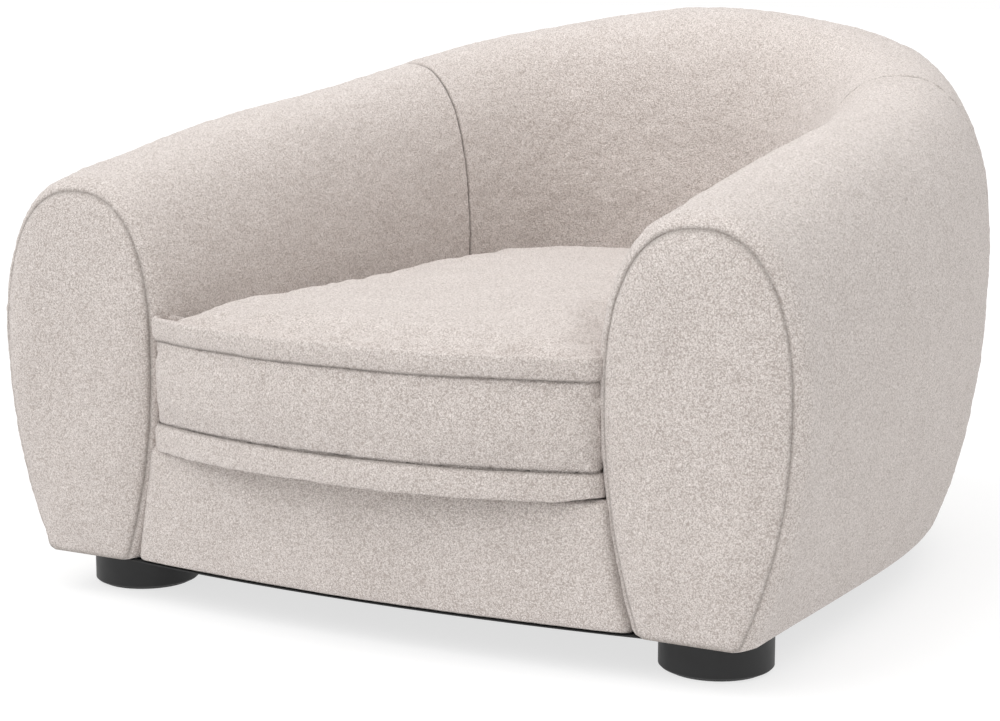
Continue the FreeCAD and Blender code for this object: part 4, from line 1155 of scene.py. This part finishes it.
    def build_flanges(self) -> list[bpy.types.Object]:
        """Both flanges: the top one stands up, the bottom one hangs and, at the front,
        hangs clear of the rail."""
        front = self.frontness
        none = np.zeros(len(front))
        x = self.outline[:, 0]
        lifted = 0.006 * front * smooth_step(x, 0.24, 0.29)
        y = self.outline[:, 1]
        stands = 1 - smooth_step(y, self.horseshoe.front + 0.02, self.horseshoe.front + 0.09)
        top = self.flange("top", self.high_seam - 0.001,
                          self.high_seam + 0.009 + (self.top_flange - 0.009) * stands,
                          none - 0.0045 + 0.0055 * front, none - 0.0042 + 0.0048 * front)
        bottom = self.flange("bottom", self.low_seam + 0.001,
                             self.low_seam - self.bottom_flange + lifted,
                             none - 0.0045 + 0.0045 * front, none - 0.004 + 0.0045 * front)
        return [top, bottom]


# ----------------------------------------------------------------------- stage and view
@dataclass
class Studio:
    """White floor and world, soft lights and the camera."""

    camera_at: tuple[float, float, float] = (1.3885, -2.7064, 0.7698)
    camera_yaw: float = 28.963
    camera_pitch: float = 9.76
    lens: float = 84.87
    floor_white: float = 0.34
    floor_glow: float = 0.7
    sky: float = 0.83
    softbox_power: float = 6.5
    softbox_size: float = 1.1
    softbox_at: tuple[float, float, float] = (-0.05, -0.22, 1.75)

    def build_floor(self) -> None:
        """Large pale floor under the feet."""
        half = 30.0
        mesh = bpy.data.meshes.new("studio_floor")
        mesh.from_pydata([(-half, -half, 0), (half, -half, 0), (half, half, 0),
                          (-half, half, 0)], [], [(0, 1, 2, 3)])
        floor = bpy.data.objects.new("studio_floor", mesh)
        bpy.context.scene.collection.objects.link(floor)
        material = bpy.data.materials.new("studio_white")
        material.use_nodes = True
        shader = material.node_tree.nodes["Principled BSDF"]
        shader.inputs["Base Color"].default_value = (*(self.floor_white,) * 3, 1)
        shader.inputs["Emission Color"].default_value = (1, 1, 1, 1)
        shader.inputs["Emission Strength"].default_value = self.floor_glow
        shader.inputs["Roughness"].default_value = 0.9
        shader.inputs["Specular IOR Level"].default_value = 0.0
        mesh.materials.append(material)

    def build_lights(self) -> None:
        """White world, two soft suns and a softbox above the seat."""
        world = bpy.data.worlds.new("studio_world")
        world.use_nodes = True
        background = world.node_tree.nodes["Background"]
        background.inputs["Color"].default_value = (1.0, 0.998, 0.995, 1)
        wiring = Wiring(world.node_tree)
        seen = wiring.add("LightPath").outputs["Is Camera Ray"]
        wiring.feed(background, "Strength", wiring.ranged(seen, 0.0, 1.0, self.sky, 1.0))
        bpy.context.scene.world = world
        softbox = bpy.data.lights.new("softbox", "AREA")
        softbox.size = self.softbox_size
        softbox.energy = self.softbox_power
        above = bpy.data.objects.new("softbox", softbox)
        above.location = self.softbox_at
        bpy.context.scene.collection.objects.link(above)
        for name, towards, strength, softness in (
                ("key_light", (0.5, 0.55, -0.9), 1.0, math.radians(50)),
                ("top_light", (-0.25, 0.35, -1.0), 0.45, math.radians(70))):
            light = bpy.data.lights.new(name, "SUN")
            light.angle = softness
            light.energy = strength
            lamp = bpy.data.objects.new(name, light)
            bpy.context.scene.collection.objects.link(lamp)
            flat = math.hypot(towards[0], towards[1])
            lamp.location = (0, 0, 3)
            lamp.rotation_euler = (math.pi / 2 + math.atan2(towards[2], flat), 0,
                                   math.atan2(towards[1], towards[0]) - math.pi / 2)

    def build_camera(self) -> None:
        """Camera in front of the sitter's left arm, a little above the back."""
        data = bpy.data.cameras.new("camera")
        data.lens = self.lens
        data.sensor_width = 36.0
        camera = bpy.data.objects.new("camera", data)
        camera.location = self.camera_at
        camera.rotation_euler = (math.radians(90 - self.camera_pitch), 0,
                                 math.radians(self.camera_yaw))
        bpy.context.scene.collection.objects.link(camera)
        bpy.context.scene.camera = camera
        bpy.context.scene.view_settings.view_transform = "Standard"


def dress_frame(nodes: dict[str, bpy.types.Object]) -> None:
    """Give every CAD node that stays visible its procedural finish."""
    for finish, names in NODE_FINISHES.items():
        material = finish.build()
        for name in names:
            mesh = nodes[name].data
            mesh.materials.clear()
            mesh.materials.append(material)
        log.info("%s on %d nodes", finish.name, len(names))


def main() -> None:
    """Load the frame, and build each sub-assembly round it."""
    logging.basicConfig(level=logging.INFO, format="%(name)s: %(message)s")
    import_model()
    for make_group in (looped_yarn_group, woven_group, grain_group):
        make_group()
    low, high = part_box("back_cover")
    arm_low, arm_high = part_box("left_arm_cover")
    horseshoe = Horseshoe(width=2 * arm_high.x, front=arm_low.y - RollCover.front_seam,
                          back=high.y, hem=low.z)
    fabric = FABRIC.build()
    for sector in Sector:
        RollCover(horseshoe, fabric, sector=sector).build()
    for side in Side:
        ArmFront(horseshoe, fabric, side=side).build()
    FrontRail(horseshoe, fabric).build()
    cushion = Cushion(horseshoe, fabric)
    cushion.build_body()
    cushion.build_flanges()
    dress_frame({o["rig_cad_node"]: o for o in bpy.data.objects if "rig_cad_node" in o})
    studio = Studio()
    studio.build_floor()
    studio.build_lights()
    studio.build_camera()


if __name__ == "__main__":
    main()
